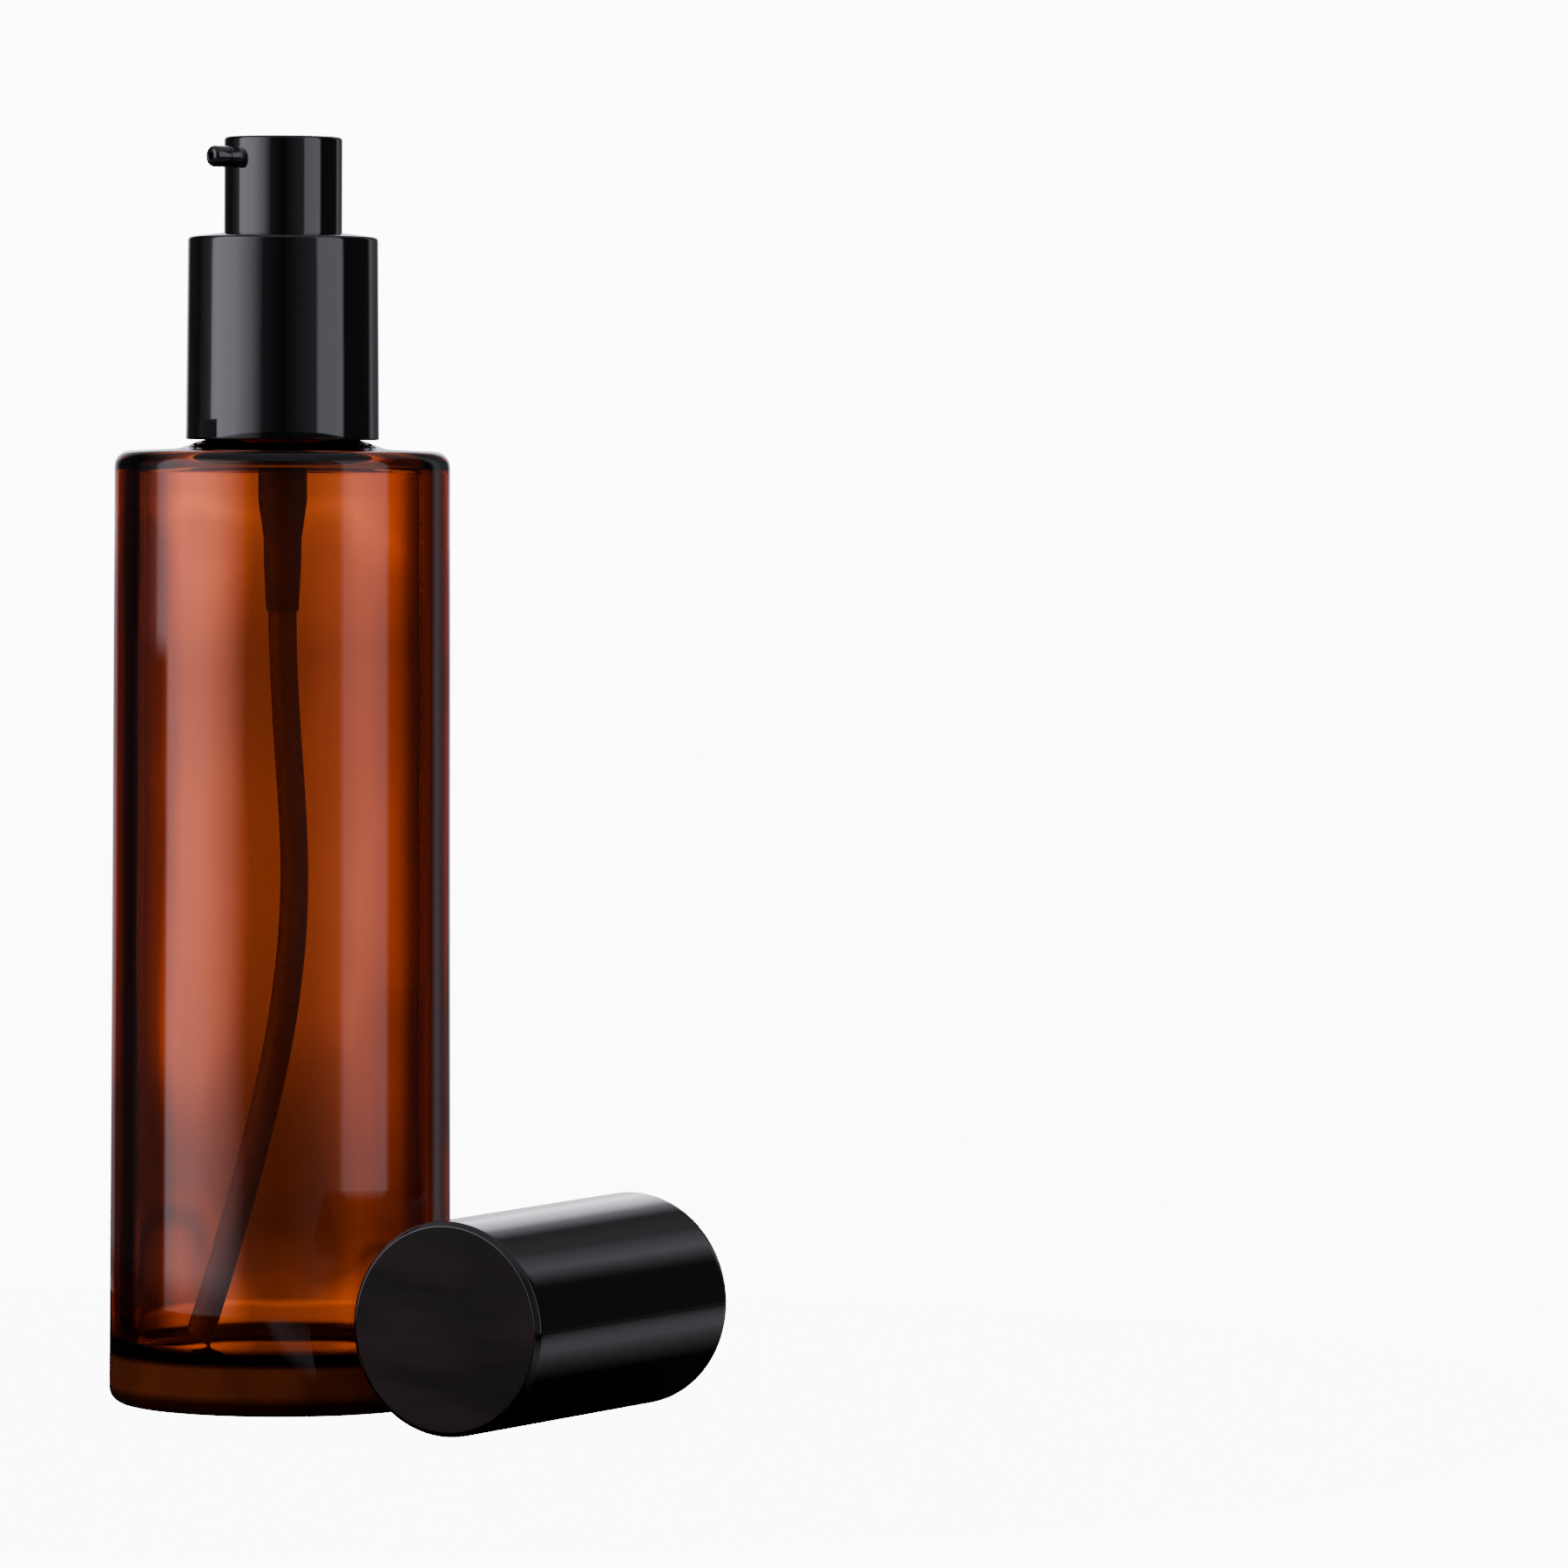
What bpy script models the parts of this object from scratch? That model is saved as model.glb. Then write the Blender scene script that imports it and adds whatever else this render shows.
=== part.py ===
"""Pump oil bottle: a straight glass bottle, a screw-on treatment pump and a push-on overcap.

Metres, +Z up. The origin is the centre of the bottle's base, on the surface it stands on.
The overcap lies on its side in front of the bottle and to its right, its mouth turned away.
"""
import math

import bmesh
import bpy
from mathutils import Matrix, Vector

# ---------------------------------------------------------------- driving dimensions
GAP = 0.0003             # kept between pieces that sit against each other
WELD = 0.000001          # merge distance for points that coincide

# Glass bottle
FOOT_RADIUS = 0.0211     # the body narrows slightly towards the shoulder
SHOULDER_RADIUS = 0.0207
SHOULDER_Z = 0.1175      # outer edge of the shoulder
SHOULDER_RISE = 0.0005   # the shoulder climbs this much towards the neck
WALL = 0.0030
FLOOR_Z = 0.0064         # inside of the thick base
CEILING_Z = 0.1159       # inside of the shoulder
BASE_EDGE = 0.0016       # edge roundings
SHOULDER_EDGE = 0.0020
FLOOR_EDGE = 0.0020
CEILING_EDGE = 0.0012
BORE_EDGE = 0.0005

# Neck finish, 20 mm nominal, one and a half turns of thread
NECK_HEIGHT = 0.0141
LIP_Z = SHOULDER_Z + NECK_HEIGHT
NECK_RADIUS = 0.0088
NECK_BORE = 0.0063
BEAD_RADIUS = 0.0095     # plain ring between shoulder and thread
BEAD_HEIGHT = 0.0022
THREAD_PITCH = 0.003175
THREAD_DEPTH = 0.00105
THREAD_FOOT = 0.0020     # ridge width at the wall
THREAD_CREST = 0.0008
NECK_TURNS = 1.5
NECK_THREAD_Z = 0.1251   # middle of the ridge where it starts
NECK_THREAD_ANGLE = math.radians(20)

# Closure and collar
CLOSURE_BOTTOM = 0.1192
CLOSURE_TOP = 0.1359
CLOSURE_RADIUS = 0.0110
CLOSURE_BORE = 0.01015
CLOSURE_DECK = 0.0012
CLOSURE_OPENING = 0.0060  # hole that the pump's top stands in
CLOSURE_TURNS = 1.1
RIB_DEPTH = 0.00022
COLLAR_BOTTOM = 0.1189
COLLAR_TOP = 0.1444
COLLAR_FOOT_RADIUS = 0.01195
COLLAR_HEAD_RADIUS = 0.01175
COLLAR_WALL = 0.0007
COLLAR_DECK = 0.0011
COLLAR_EDGE = 0.0005     # rounding of the top edge
COLLAR_CROWN = 0.0005    # the top face climbs this much towards the opening
WELL_RADIUS = 0.0076     # opening that the actuator slides in
WELL_BOTTOM = 0.1368

# Pump housing
FLANGE_Z = 0.1331
FLANGE_THICKNESS = 0.0013
FLANGE_RADIUS = 0.0090
BARREL_RADIUS = 0.0054
BARREL_FOOT_Z = 0.1172   # the barrel's underside slopes in from here to the tail
BARREL_FOOT_RISE = 0.0010
CHAMBER_BORE = 0.0042
CHAMBER_FLOOR = 0.1176
HOUSING_TOP = 0.1376
SEAT_LEDGE_Z = 0.1342    # ledge under the stem gasket
SEAT_BORE = 0.00475
THROAT_BORE = 0.0021
THROAT_BOTTOM = 0.1130
BALL_BORE = 0.00175
VALVE_SEAT_Z = 0.1089    # lower edge of the conical seat
VALVE_SEAT_SLOPE = 1.06  # rise of the seat for each unit outwards
VALVE_HOLE = 0.0009
TAIL_RADIUS = 0.0030
TAIL_TIP_RADIUS = 0.00235
TAIL_TAPER = (0.1065, 0.1110)
TAIL_BOTTOM = 0.0978
SOCKET_TOP = 0.1079
TUBE_RADIUS = 0.00175
TUBE_BORE = 0.00115
SOCKET_FIT = 0.00015     # play of the tube in its socket
VENT_Z = 0.1325
VENT_RADIUS = 0.00035

# Seals, guide and cage fixed in the housing
NECK_GASKET_RADIUS = 0.0089
NECK_GASKET_BORE = 0.0059
STEM_GASKET_RADIUS = 0.0045
STEM_GASKET_BORE = 0.00225
STEM_GASKET_THICKNESS = 0.0008
GUIDE_BORE = 0.0023
GUIDE_FLANGE_RADIUS = 0.0055
GUIDE_FLANGE = 0.0010
GUIDE_PLUG_Z = 0.1356
CAGE_BORE = 0.0011
CAGE_PLUG_RADIUS = 0.0018
CAGE_FLANGE_RADIUS = 0.0038
CAGE_FLANGE = 0.0006
CAGE_PLAY = 0.0002

# Dip tube: straight in its socket, bowed to one side, then curving to the far corner
TUBE_TOP = 0.1074
TUBE_BOW = (0.0016, 0.0655)
TUBE_END = (-0.0102, 0.0078)
TUBE_END_SLOPE = 0.32    # sideways travel per unit of drop at the cut end
TUBE_CUT = 0.45          # slant of the cut end

# Moving parts of the pump
BALL_RADIUS = 0.0014
BALL_PLAY = 0.0001       # between the ball and its seat
STEM_RADIUS = 0.0020
STEM_BORE = 0.0010
STEM_BOTTOM = 0.1292
STEM_TOP = 0.1514
STEM_FLANGE_RADIUS = 0.0032
STEM_FLANGE_Z = 0.1332
STEM_FLANGE = 0.0007
POST_SOCKET = 0.00125    # bore that takes the post's pin
POST_SOCKET_TOP = 0.1333
POST_SOCKET_TAPER = 0.0003
POST_RADIUS = 0.0029
POST_FOOT_RADIUS = 0.0021
POST_PIN_RADIUS = 0.00095
POST_PIN_TOP = 0.1330
POST_CHAMFER = 0.0003
POST_BOTTOM = 0.1262
POST_SEAT_Z = 0.1273     # underside of the head, where the main spring presses
POST_FACE_Z = 0.1286     # upper face, where the piston seals
PISTON_BOTTOM = 0.1289
PISTON_TOP = 0.1312
PISTON_RADIUS = 0.00405
PISTON_WAIST = 0.0036
PISTON_LIP = 0.0003      # straight part of each sealing lip
PISTON_SKIRT = 0.0008    # length of each flared skirt
STEM_FIT = 0.00025       # play around the stem

# Springs: coil radius, wire radius, bottom, top, turns
MAIN_SPRING = (0.0027, 0.00022, 0.1187, 0.1271, 4.5)
PISTON_SPRING = (0.00275, 0.00014, 0.1314, 0.1330, 3)

# Actuator
ACTUATOR_RADIUS = 0.0073
ACTUATOR_TOP = 0.1562
ACTUATOR_BOTTOM = 0.1420
ACTUATOR_WALL = 0.0008
ACTUATOR_LID = 0.0007
ACTUATOR_EDGE = 0.0006
CORE_RADIUS = 0.0031
CORE_BOTTOM = 0.1448
NOZZLE_DROP = 0.0026     # nozzle axis below the actuator's top
NOZZLE_AZIMUTH = math.radians(215)
BOSS_RADIUS = 0.00125
BOSS_FIT = 0.0002        # play around the boss and around the tip's plug
BOSS_REACH = 0.0085
TIP_REACH = 0.0108
TIP_RADIUS = 0.00130
TIP_PLUG_RADIUS = 0.00078
TIP_PLUG_START = 0.0070  # along the spout from the bottle's axis
OUTLET_RADIUS = 0.00040
CHANNEL_RADIUS = 0.0005
RISER_RADIUS = 0.0008
WEB_BOTTOM = 0.1465      # webs that carry the shell on the core
WEB_THICKNESS = 0.0008

# Overcap
CAP_LENGTH = 0.0465
CAP_CLOSED_RADIUS = 0.01292
CAP_MOUTH_RADIUS = 0.01313
CAP_WALL = 0.00085
CAP_END_THICKNESS = 0.0012
CAP_YAW = math.radians(31.4)
CAP_CLOSED_PLACE = (0.0196, -0.0429)
CAP_RIB_COUNT = 6
CAP_RIB_HEIGHT = 0.0002
CAP_RIB_LENGTH = 0.0120
CAP_BEVEL = 0.0006
CAP_LIP = 0.0015         # plain mouth in front of the ribs

NOZZLE_Z = ACTUATOR_TOP - NOZZLE_DROP
GLASS_SIDES = 48
COLLAR_SIDES = 48
BUTTON_SIDES = 32
PUMP_SIDES = 24
SMALL_SIDES = 16


# ---------------------------------------------------------------- making and placing
def clear_scene():
    for old in list(bpy.data.objects):
        bpy.data.objects.remove(old, do_unlink=True)


def plastic(name, colour, roughness, metallic=0.0, transmission=0.0):
    """A Principled material with one colour and finish."""
    made = bpy.data.materials.new(name)
    made.use_nodes = True
    shader = made.node_tree.nodes["Principled BSDF"]
    shader.inputs["Base Color"].default_value = (*colour, 1.0)
    shader.inputs["Roughness"].default_value = roughness
    shader.inputs["Metallic"].default_value = metallic
    shader.inputs["Transmission Weight"].default_value = transmission
    made.diffuse_color = (*colour, 1.0)
    return made


def place(name, mesh, material=None, parent=None):
    """Make an object; its mesh is in world coordinates unless its parent says otherwise."""
    made = bpy.data.objects.new(name, mesh)
    bpy.context.scene.collection.objects.link(made)
    if material:
        mesh.materials.append(material)
    made.parent = parent
    return made


def finished(bm, name):
    """Turn a bmesh into a smooth-shaded mesh with its faces pointing out."""
    bmesh.ops.remove_doubles(bm, verts=bm.verts, dist=WELD)
    bmesh.ops.recalc_face_normals(bm, faces=bm.faces)
    mesh = bpy.data.meshes.new(name)
    bm.to_mesh(mesh)
    bm.free()
    mesh.shade_smooth()
    mesh.set_sharp_from_angle(angle=math.radians(35))
    return mesh


def rounded(corners, steps=3):
    """An outline from (radius, height, rounding) corners, with an arc at each rounding."""
    outline = []
    for index, (across, up, rounding) in enumerate(corners):
        corner = Vector((across, up))
        if not rounding:
            outline.append(corner)
            continue
        before = (Vector(corners[index - 1][:2]) - corner).normalized()
        after = (Vector(corners[(index + 1) % len(corners)][:2]) - corner).normalized()
        half = before.angle(after) / 2
        centre = corner + (before + after).normalized() * rounding / math.sin(half)
        first = corner + before * rounding / math.tan(half) - centre
        last = corner + after * rounding / math.tan(half) - centre
        sweep = first.angle(last)
        for step in range(steps + 1):
            share = step / steps
            weight_first = math.sin((1 - share) * sweep) / math.sin(sweep)
            weight_last = math.sin(share * sweep) / math.sin(sweep)
            outline.append(centre + first * weight_first + last * weight_last)
    return outline


def spin_outline(outline, sides, ring=True):
    """Turn an outline about Z. A ring's outline closes on itself; others end on the axis."""
    bm = bmesh.new()
    points = [bm.verts.new((across, 0, up)) for across, up in outline]
    for start, end in zip(points, points[1:]):
        bm.edges.new((start, end))
    if ring:
        bm.edges.new((points[-1], points[0]))
    geometry = bm.verts[:] + bm.edges[:]
    bmesh.ops.spin(bm, geom=geometry, cent=(0, 0, 0), axis=(0, 0, 1), dvec=(0, 0, 0),
                   angle=2 * math.pi, steps=sides, use_merge=True)
    return bm


def turned(name, corners, sides, material, ring=True, steps=3):
    """A turned piece on the Z axis."""
    return place(name, finished(spin_outline(rounded(corners, steps), sides, ring), name), material)


def rod(name, start, direction, length, radius, sides=SMALL_SIDES):
    """A plain round bar, used to cut holes and to add bosses."""
    bm = bmesh.new()
    turn = direction.to_track_quat("Z", "Y").to_matrix().to_4x4()
    middle = Matrix.Translation(start + direction * length / 2)
    bmesh.ops.create_cone(bm, cap_ends=True, segments=sides, radius1=radius, radius2=radius,
                          depth=length, matrix=middle @ turn)
    return place(name, finished(bm, name))


def combine(target, tool, operation):
    """Cut or join with a Boolean, leaving the tool out of the model."""
    tool.hide_render = True
    tool.display_type = "WIRE"
    modifier = target.modifiers.new(tool.name, "BOOLEAN")
    modifier.operation = operation
    modifier.solver = "EXACT"
    modifier.object = tool


def thread_ridge(name, root, crest, sink, start_z, start_angle, turns):
    """A helical ridge with a tapered section that fades into the wall at both ends."""
    steps_per_turn = 24
    fade = 3
    count = round(turns * steps_per_turn)
    bm = bmesh.new()
    rings = []
    for step in range(count + 1):
        angle = start_angle + 2 * math.pi * step / steps_per_turn
        height = start_z + THREAD_PITCH * step / steps_per_turn
        grown = min(1.0, step / fade, (count - step) / fade)
        top = root + (crest - root) * (grown * 1.1 - 0.1)
        half_foot = THREAD_FOOT / 2
        half_crest = THREAD_CREST / 2
        section = [(sink, -half_foot), (top, -half_crest), (top, half_crest), (sink, half_foot)]
        ring = [bm.verts.new((across * math.cos(angle), across * math.sin(angle), height + up))
                for across, up in section]
        rings.append(ring)
    for lower, upper in zip(rings, rings[1:]):
        for corner in range(4):
            following = (corner + 1) % 4
            bm.faces.new((lower[corner], lower[following], upper[following], upper[corner]))
    bm.faces.new(rings[0])
    bm.faces.new(rings[-1])
    return place(name, finished(bm, name))


def coil_spring(name, radius, wire, bottom, top, turns, material):
    """A round-wire compression spring standing on the Z axis."""
    steps = round(turns * SMALL_SIDES)
    curve = bpy.data.curves.new(name, "CURVE")
    curve.dimensions = "3D"
    curve.bevel_depth = wire
    curve.bevel_resolution = 1
    curve.use_fill_caps = True
    spline = curve.splines.new("POLY")
    spline.points.add(steps)
    low = bottom + wire
    rise = top - bottom - 2 * wire
    for step, point in enumerate(spline.points):
        angle = 2 * math.pi * step / SMALL_SIDES
        place_on_coil = (radius * math.cos(angle), radius * math.sin(angle), low + rise * step / steps)
        point.co = (*place_on_coil, 1.0)
    curve.materials.append(material)
    made = bpy.data.objects.new(name, curve)
    bpy.context.scene.collection.objects.link(made)
    return made


# ---------------------------------------------------------------- bottle
def make_glass_bottle(glass):
    bead_top = SHOULDER_Z + BEAD_HEIGHT
    bottle = turned("glass_bottle", [
        (0, 0, 0),
        (FOOT_RADIUS, 0, BASE_EDGE),
        (SHOULDER_RADIUS, SHOULDER_Z, SHOULDER_EDGE),
        (BEAD_RADIUS, SHOULDER_Z + SHOULDER_RISE, 0.0011),
        (BEAD_RADIUS, bead_top, 0),
        (NECK_RADIUS, bead_top + 0.0006, 0),
        (NECK_RADIUS, LIP_Z, 0.0005),
        (NECK_BORE, LIP_Z, 0),
        (NECK_BORE, CEILING_Z, BORE_EDGE),
        (SHOULDER_RADIUS - WALL, CEILING_Z, CEILING_EDGE),
        (FOOT_RADIUS - WALL, FLOOR_Z, FLOOR_EDGE),
        (0, FLOOR_Z, 0),
    ], GLASS_SIDES, glass, ring=False, steps=2)
    crest = NECK_RADIUS + THREAD_DEPTH
    ridge = thread_ridge("neck_thread_ridge", NECK_RADIUS, crest, NECK_RADIUS - GAP,
                         NECK_THREAD_Z, NECK_THREAD_ANGLE, NECK_TURNS)
    combine(bottle, ridge, "UNION")


# ---------------------------------------------------------------- closure and collar
def make_threaded_closure(black):
    deck_bottom = CLOSURE_TOP - CLOSURE_DECK
    outline = rounded([
        (CLOSURE_RADIUS, CLOSURE_BOTTOM, 0),
        (CLOSURE_RADIUS, CLOSURE_TOP, 0.0005),
        (CLOSURE_OPENING, CLOSURE_TOP, 0),
        (CLOSURE_OPENING, deck_bottom, 0),
        (CLOSURE_BORE, deck_bottom, 0),
        (CLOSURE_BORE, CLOSURE_BOTTOM, 0),
    ], steps=2)
    sides = 60
    bm = spin_outline(outline, sides)
    bmesh.ops.remove_doubles(bm, verts=bm.verts, dist=WELD)
    for point in bm.verts:
        across = math.hypot(point.co.x, point.co.y)
        place_round = round(math.atan2(point.co.y, point.co.x) * sides / (2 * math.pi))
        if across > CLOSURE_RADIUS - RIB_DEPTH and place_round % 2:
            shrink = (across - RIB_DEPTH) / across
            point.co.x *= shrink
            point.co.y *= shrink
    closure = place("threaded_closure", finished(bm, "threaded_closure"), black)
    crest = CLOSURE_BORE - THREAD_DEPTH + 0.00005
    ridge = thread_ridge("closure_thread_ridge", CLOSURE_BORE, crest, CLOSURE_BORE + GAP,
                         NECK_THREAD_Z + THREAD_PITCH / 2, NECK_THREAD_ANGLE, CLOSURE_TURNS)
    combine(closure, ridge, "UNION")


def make_collar_shell(black):
    inner_foot = COLLAR_FOOT_RADIUS - COLLAR_WALL
    inner_head = COLLAR_HEAD_RADIUS - COLLAR_WALL
    deck_bottom = COLLAR_TOP - COLLAR_DECK
    well_outer = WELL_RADIUS + COLLAR_WALL
    turned("collar_shell", [
        (COLLAR_FOOT_RADIUS, COLLAR_BOTTOM, 0.0003),
        (COLLAR_HEAD_RADIUS, COLLAR_TOP - COLLAR_CROWN, COLLAR_EDGE),
        (WELL_RADIUS, COLLAR_TOP, 0.0002),
        (WELL_RADIUS, WELL_BOTTOM, 0),
        (well_outer, WELL_BOTTOM, 0),
        (well_outer, deck_bottom, 0),
        (inner_head, deck_bottom, 0),
        (inner_foot, COLLAR_BOTTOM, 0),
    ], COLLAR_SIDES, black, steps=2)


# ---------------------------------------------------------------- pump engine
def make_neck_gasket(rubber):
    bottom = LIP_Z + GAP
    top = FLANGE_Z - GAP
    turned("neck_gasket", [
        (NECK_GASKET_RADIUS, bottom, 0),
        (NECK_GASKET_RADIUS, top, 0),
        (NECK_GASKET_BORE, top, 0),
        (NECK_GASKET_BORE, bottom, 0),
    ], PUMP_SIDES, rubber)


def make_pump_housing(natural):
    flange_top = FLANGE_Z + FLANGE_THICKNESS
    upstand = BARREL_RADIUS + 0.0002
    seat_rise = (BALL_BORE - VALVE_HOLE) * VALVE_SEAT_SLOPE
    housing = turned("pump_housing", [
        (TAIL_TIP_RADIUS, TAIL_BOTTOM, 0),
        (TAIL_TIP_RADIUS, TAIL_TAPER[0], 0),
        (TAIL_RADIUS, TAIL_TAPER[1], 0),
        (TAIL_RADIUS, BARREL_FOOT_Z - BARREL_FOOT_RISE, 0),
        (BARREL_RADIUS, BARREL_FOOT_Z, 0),
        (BARREL_RADIUS, FLANGE_Z, 0),
        (FLANGE_RADIUS, FLANGE_Z, 0),
        (FLANGE_RADIUS, flange_top, 0),
        (upstand, flange_top, 0),
        (upstand, HOUSING_TOP, 0),
        (SEAT_BORE, HOUSING_TOP, 0),
        (SEAT_BORE, SEAT_LEDGE_Z, 0),
        (CHAMBER_BORE, SEAT_LEDGE_Z, 0),
        (CHAMBER_BORE, CHAMBER_FLOOR, 0),
        (THROAT_BORE, CHAMBER_FLOOR, 0),
        (THROAT_BORE, THROAT_BOTTOM, 0),
        (BALL_BORE, THROAT_BOTTOM, 0),
        (BALL_BORE, VALVE_SEAT_Z + seat_rise, 0),
        (VALVE_HOLE, VALVE_SEAT_Z, 0),
        (VALVE_HOLE, SOCKET_TOP, 0),
        (TUBE_RADIUS + SOCKET_FIT, SOCKET_TOP, 0),
        (TUBE_RADIUS + SOCKET_FIT, TAIL_BOTTOM, 0),
    ], PUMP_SIDES, natural)
    vent = rod("vent_cutter", Vector((0.0030, 0, VENT_Z)), Vector((1, 0, 0)), 0.0040, VENT_RADIUS, 8)
    combine(housing, vent, "DIFFERENCE")


def make_stem_guide(natural):
    flange_bottom = HOUSING_TOP + GAP
    flange_top = flange_bottom + GUIDE_FLANGE
    turned("stem_guide", [
        (GUIDE_BORE, GUIDE_PLUG_Z, 0),
        (SEAT_BORE - GAP, GUIDE_PLUG_Z, 0),
        (SEAT_BORE - GAP, flange_bottom, 0),
        (GUIDE_FLANGE_RADIUS, flange_bottom, 0),
        (GUIDE_FLANGE_RADIUS, flange_top, 0.0003),
        (GUIDE_BORE, flange_top, 0),
    ], PUMP_SIDES, natural, steps=1)


def make_stem_gasket(rubber):
    bottom = SEAT_LEDGE_Z + GAP
    top = bottom + STEM_GASKET_THICKNESS
    turned("stem_gasket", [
        (STEM_GASKET_RADIUS, bottom, 0),
        (STEM_GASKET_RADIUS, top, 0),
        (STEM_GASKET_BORE, top, 0),
        (STEM_GASKET_BORE, bottom, 0),
    ], PUMP_SIDES, rubber)


def make_ball_cage(natural):
    flange_bottom = CHAMBER_FLOOR + GAP
    flange_top = flange_bottom + CAGE_FLANGE
    plug_bottom = THROAT_BOTTOM + CAGE_PLAY
    turned("ball_cage", [
        (CAGE_BORE, plug_bottom, 0),
        (CAGE_PLUG_RADIUS, plug_bottom, 0),
        (CAGE_PLUG_RADIUS, flange_bottom, 0),
        (CAGE_FLANGE_RADIUS, flange_bottom, 0),
        (CAGE_FLANGE_RADIUS, flange_top, 0),
        (CAGE_BORE, flange_top, 0),
    ], PUMP_SIDES, natural)


def make_inlet_ball(steel):
    """The ball sits just clear of the cone of its seat."""
    slope = 1 / VALVE_SEAT_SLOPE
    centre_rise = ((BALL_RADIUS + BALL_PLAY) * math.hypot(1, slope) - VALVE_HOLE) / slope
    bm = bmesh.new()
    bmesh.ops.create_uvsphere(bm, u_segments=SMALL_SIDES, v_segments=8, radius=BALL_RADIUS)
    ball = place("inlet_ball", finished(bm, "inlet_ball"), steel)
    ball.location.z = VALVE_SEAT_Z + centre_rise


def tube_route(share):
    """A point and a direction of the dip tube's centre line, in the XZ plane."""
    straight_end = Vector((0, TAIL_BOTTOM))
    bow = Vector(TUBE_BOW)
    end = Vector(TUBE_END)
    down = Vector((0, -1))
    straight = 0.12
    first = 0.52
    if share < straight:
        along = share / straight
        top = Vector((0, TUBE_TOP))
        return top.lerp(straight_end, along), down
    if share < first:
        along = (share - straight) / (first - straight)
        handle = (straight_end.y - bow.y) / 3
        knots = [straight_end, straight_end + down * handle, bow - down * handle, bow]
    else:
        along = (share - first) / (1 - first)
        handle = (bow.y - end.y) / 3
        arrive = Vector((-TUBE_END_SLOPE, -1))
        knots = [bow, bow + down * handle, end - arrive * handle, end]
    rest = 1 - along
    point = (knots[0] * rest ** 3 + knots[1] * 3 * rest ** 2 * along
             + knots[2] * 3 * rest * along ** 2 + knots[3] * along ** 3)
    heading = ((knots[1] - knots[0]) * rest ** 2 + (knots[2] - knots[1]) * 2 * rest * along
               + (knots[3] - knots[2]) * along ** 2)
    return point, heading.normalized()


def make_dip_tube(clear):
    stations = 25
    sides = 12
    bm = bmesh.new()
    rings = []
    for station in range(stations):
        share = station / (stations - 1)
        point, heading = tube_route(share)
        side = Vector((-heading.y, heading.x))
        slant = TUBE_CUT if station == stations - 1 else 0.0
        walls = []
        for radius in (TUBE_RADIUS, TUBE_BORE):
            ring = []
            for corner in range(sides):
                angle = 2 * math.pi * corner / sides
                across = radius * math.cos(angle)
                spot = point + side * across + heading * across * slant
                ring.append(bm.verts.new((spot.x, radius * math.sin(angle), spot.y)))
            walls.append(ring)
        rings.append(walls)
    for upper, lower in zip(rings, rings[1:]):
        for wall in range(2):
            for corner in range(sides):
                following = (corner + 1) % sides
                bm.faces.new((upper[wall][corner], upper[wall][following],
                              lower[wall][following], lower[wall][corner]))
    for outer, inner in (rings[0], rings[-1]):
        for corner in range(sides):
            following = (corner + 1) % sides
            bm.faces.new((outer[corner], outer[following], inner[following], inner[corner]))
    place("dip_tube", finished(bm, "dip_tube"), clear)


# ---------------------------------------------------------------- pumping parts
def make_stem_post(natural):
    turned("stem_post", [
        (0, POST_BOTTOM, 0),
        (POST_FOOT_RADIUS, POST_BOTTOM, 0.0004),
        (POST_FOOT_RADIUS, POST_SEAT_Z, 0),
        (POST_RADIUS, POST_SEAT_Z, 0),
        (POST_RADIUS, POST_FACE_Z - POST_CHAMFER, 0),
        (POST_RADIUS - POST_CHAMFER, POST_FACE_Z, 0),
        (POST_PIN_RADIUS, POST_FACE_Z, 0),
        (POST_PIN_RADIUS, POST_PIN_TOP, 0),
        (0, POST_PIN_TOP, 0),
    ], 20, natural, ring=False, steps=1)


def make_piston_seal(soft):
    turned("piston_seal", [
        (STEM_RADIUS + STEM_FIT, PISTON_BOTTOM, 0),
        (0.0031, PISTON_BOTTOM, 0),
        (0.0034, PISTON_BOTTOM + PISTON_LIP, 0),
        (0.0037, PISTON_BOTTOM, 0),
        (PISTON_RADIUS, PISTON_BOTTOM, 0),
        (PISTON_RADIUS, PISTON_BOTTOM + PISTON_LIP, 0),
        (PISTON_WAIST, PISTON_BOTTOM + PISTON_SKIRT, 0),
        (PISTON_WAIST, PISTON_TOP - PISTON_SKIRT, 0),
        (PISTON_RADIUS, PISTON_TOP - PISTON_LIP, 0),
        (PISTON_RADIUS, PISTON_TOP, 0),
        (STEM_RADIUS + STEM_FIT, PISTON_TOP, 0),
    ], PUMP_SIDES, soft)


def make_stem(natural):
    flange_top = STEM_FLANGE_Z + STEM_FLANGE
    turned("stem", [
        (POST_SOCKET, STEM_BOTTOM, 0),
        (STEM_RADIUS, STEM_BOTTOM, 0),
        (STEM_RADIUS, STEM_FLANGE_Z, 0),
        (STEM_FLANGE_RADIUS, STEM_FLANGE_Z, 0),
        (STEM_FLANGE_RADIUS, flange_top, 0),
        (STEM_RADIUS, flange_top, 0),
        (STEM_RADIUS, STEM_TOP, 0.0003),
        (STEM_BORE, STEM_TOP, 0),
        (STEM_BORE, POST_SOCKET_TOP + POST_SOCKET_TAPER, 0),
        (POST_SOCKET, POST_SOCKET_TOP, 0),
    ], 20, natural, steps=1)


# ---------------------------------------------------------------- actuator
def nozzle_direction():
    return Vector((math.cos(NOZZLE_AZIMUTH), math.sin(NOZZLE_AZIMUTH), 0))


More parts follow.
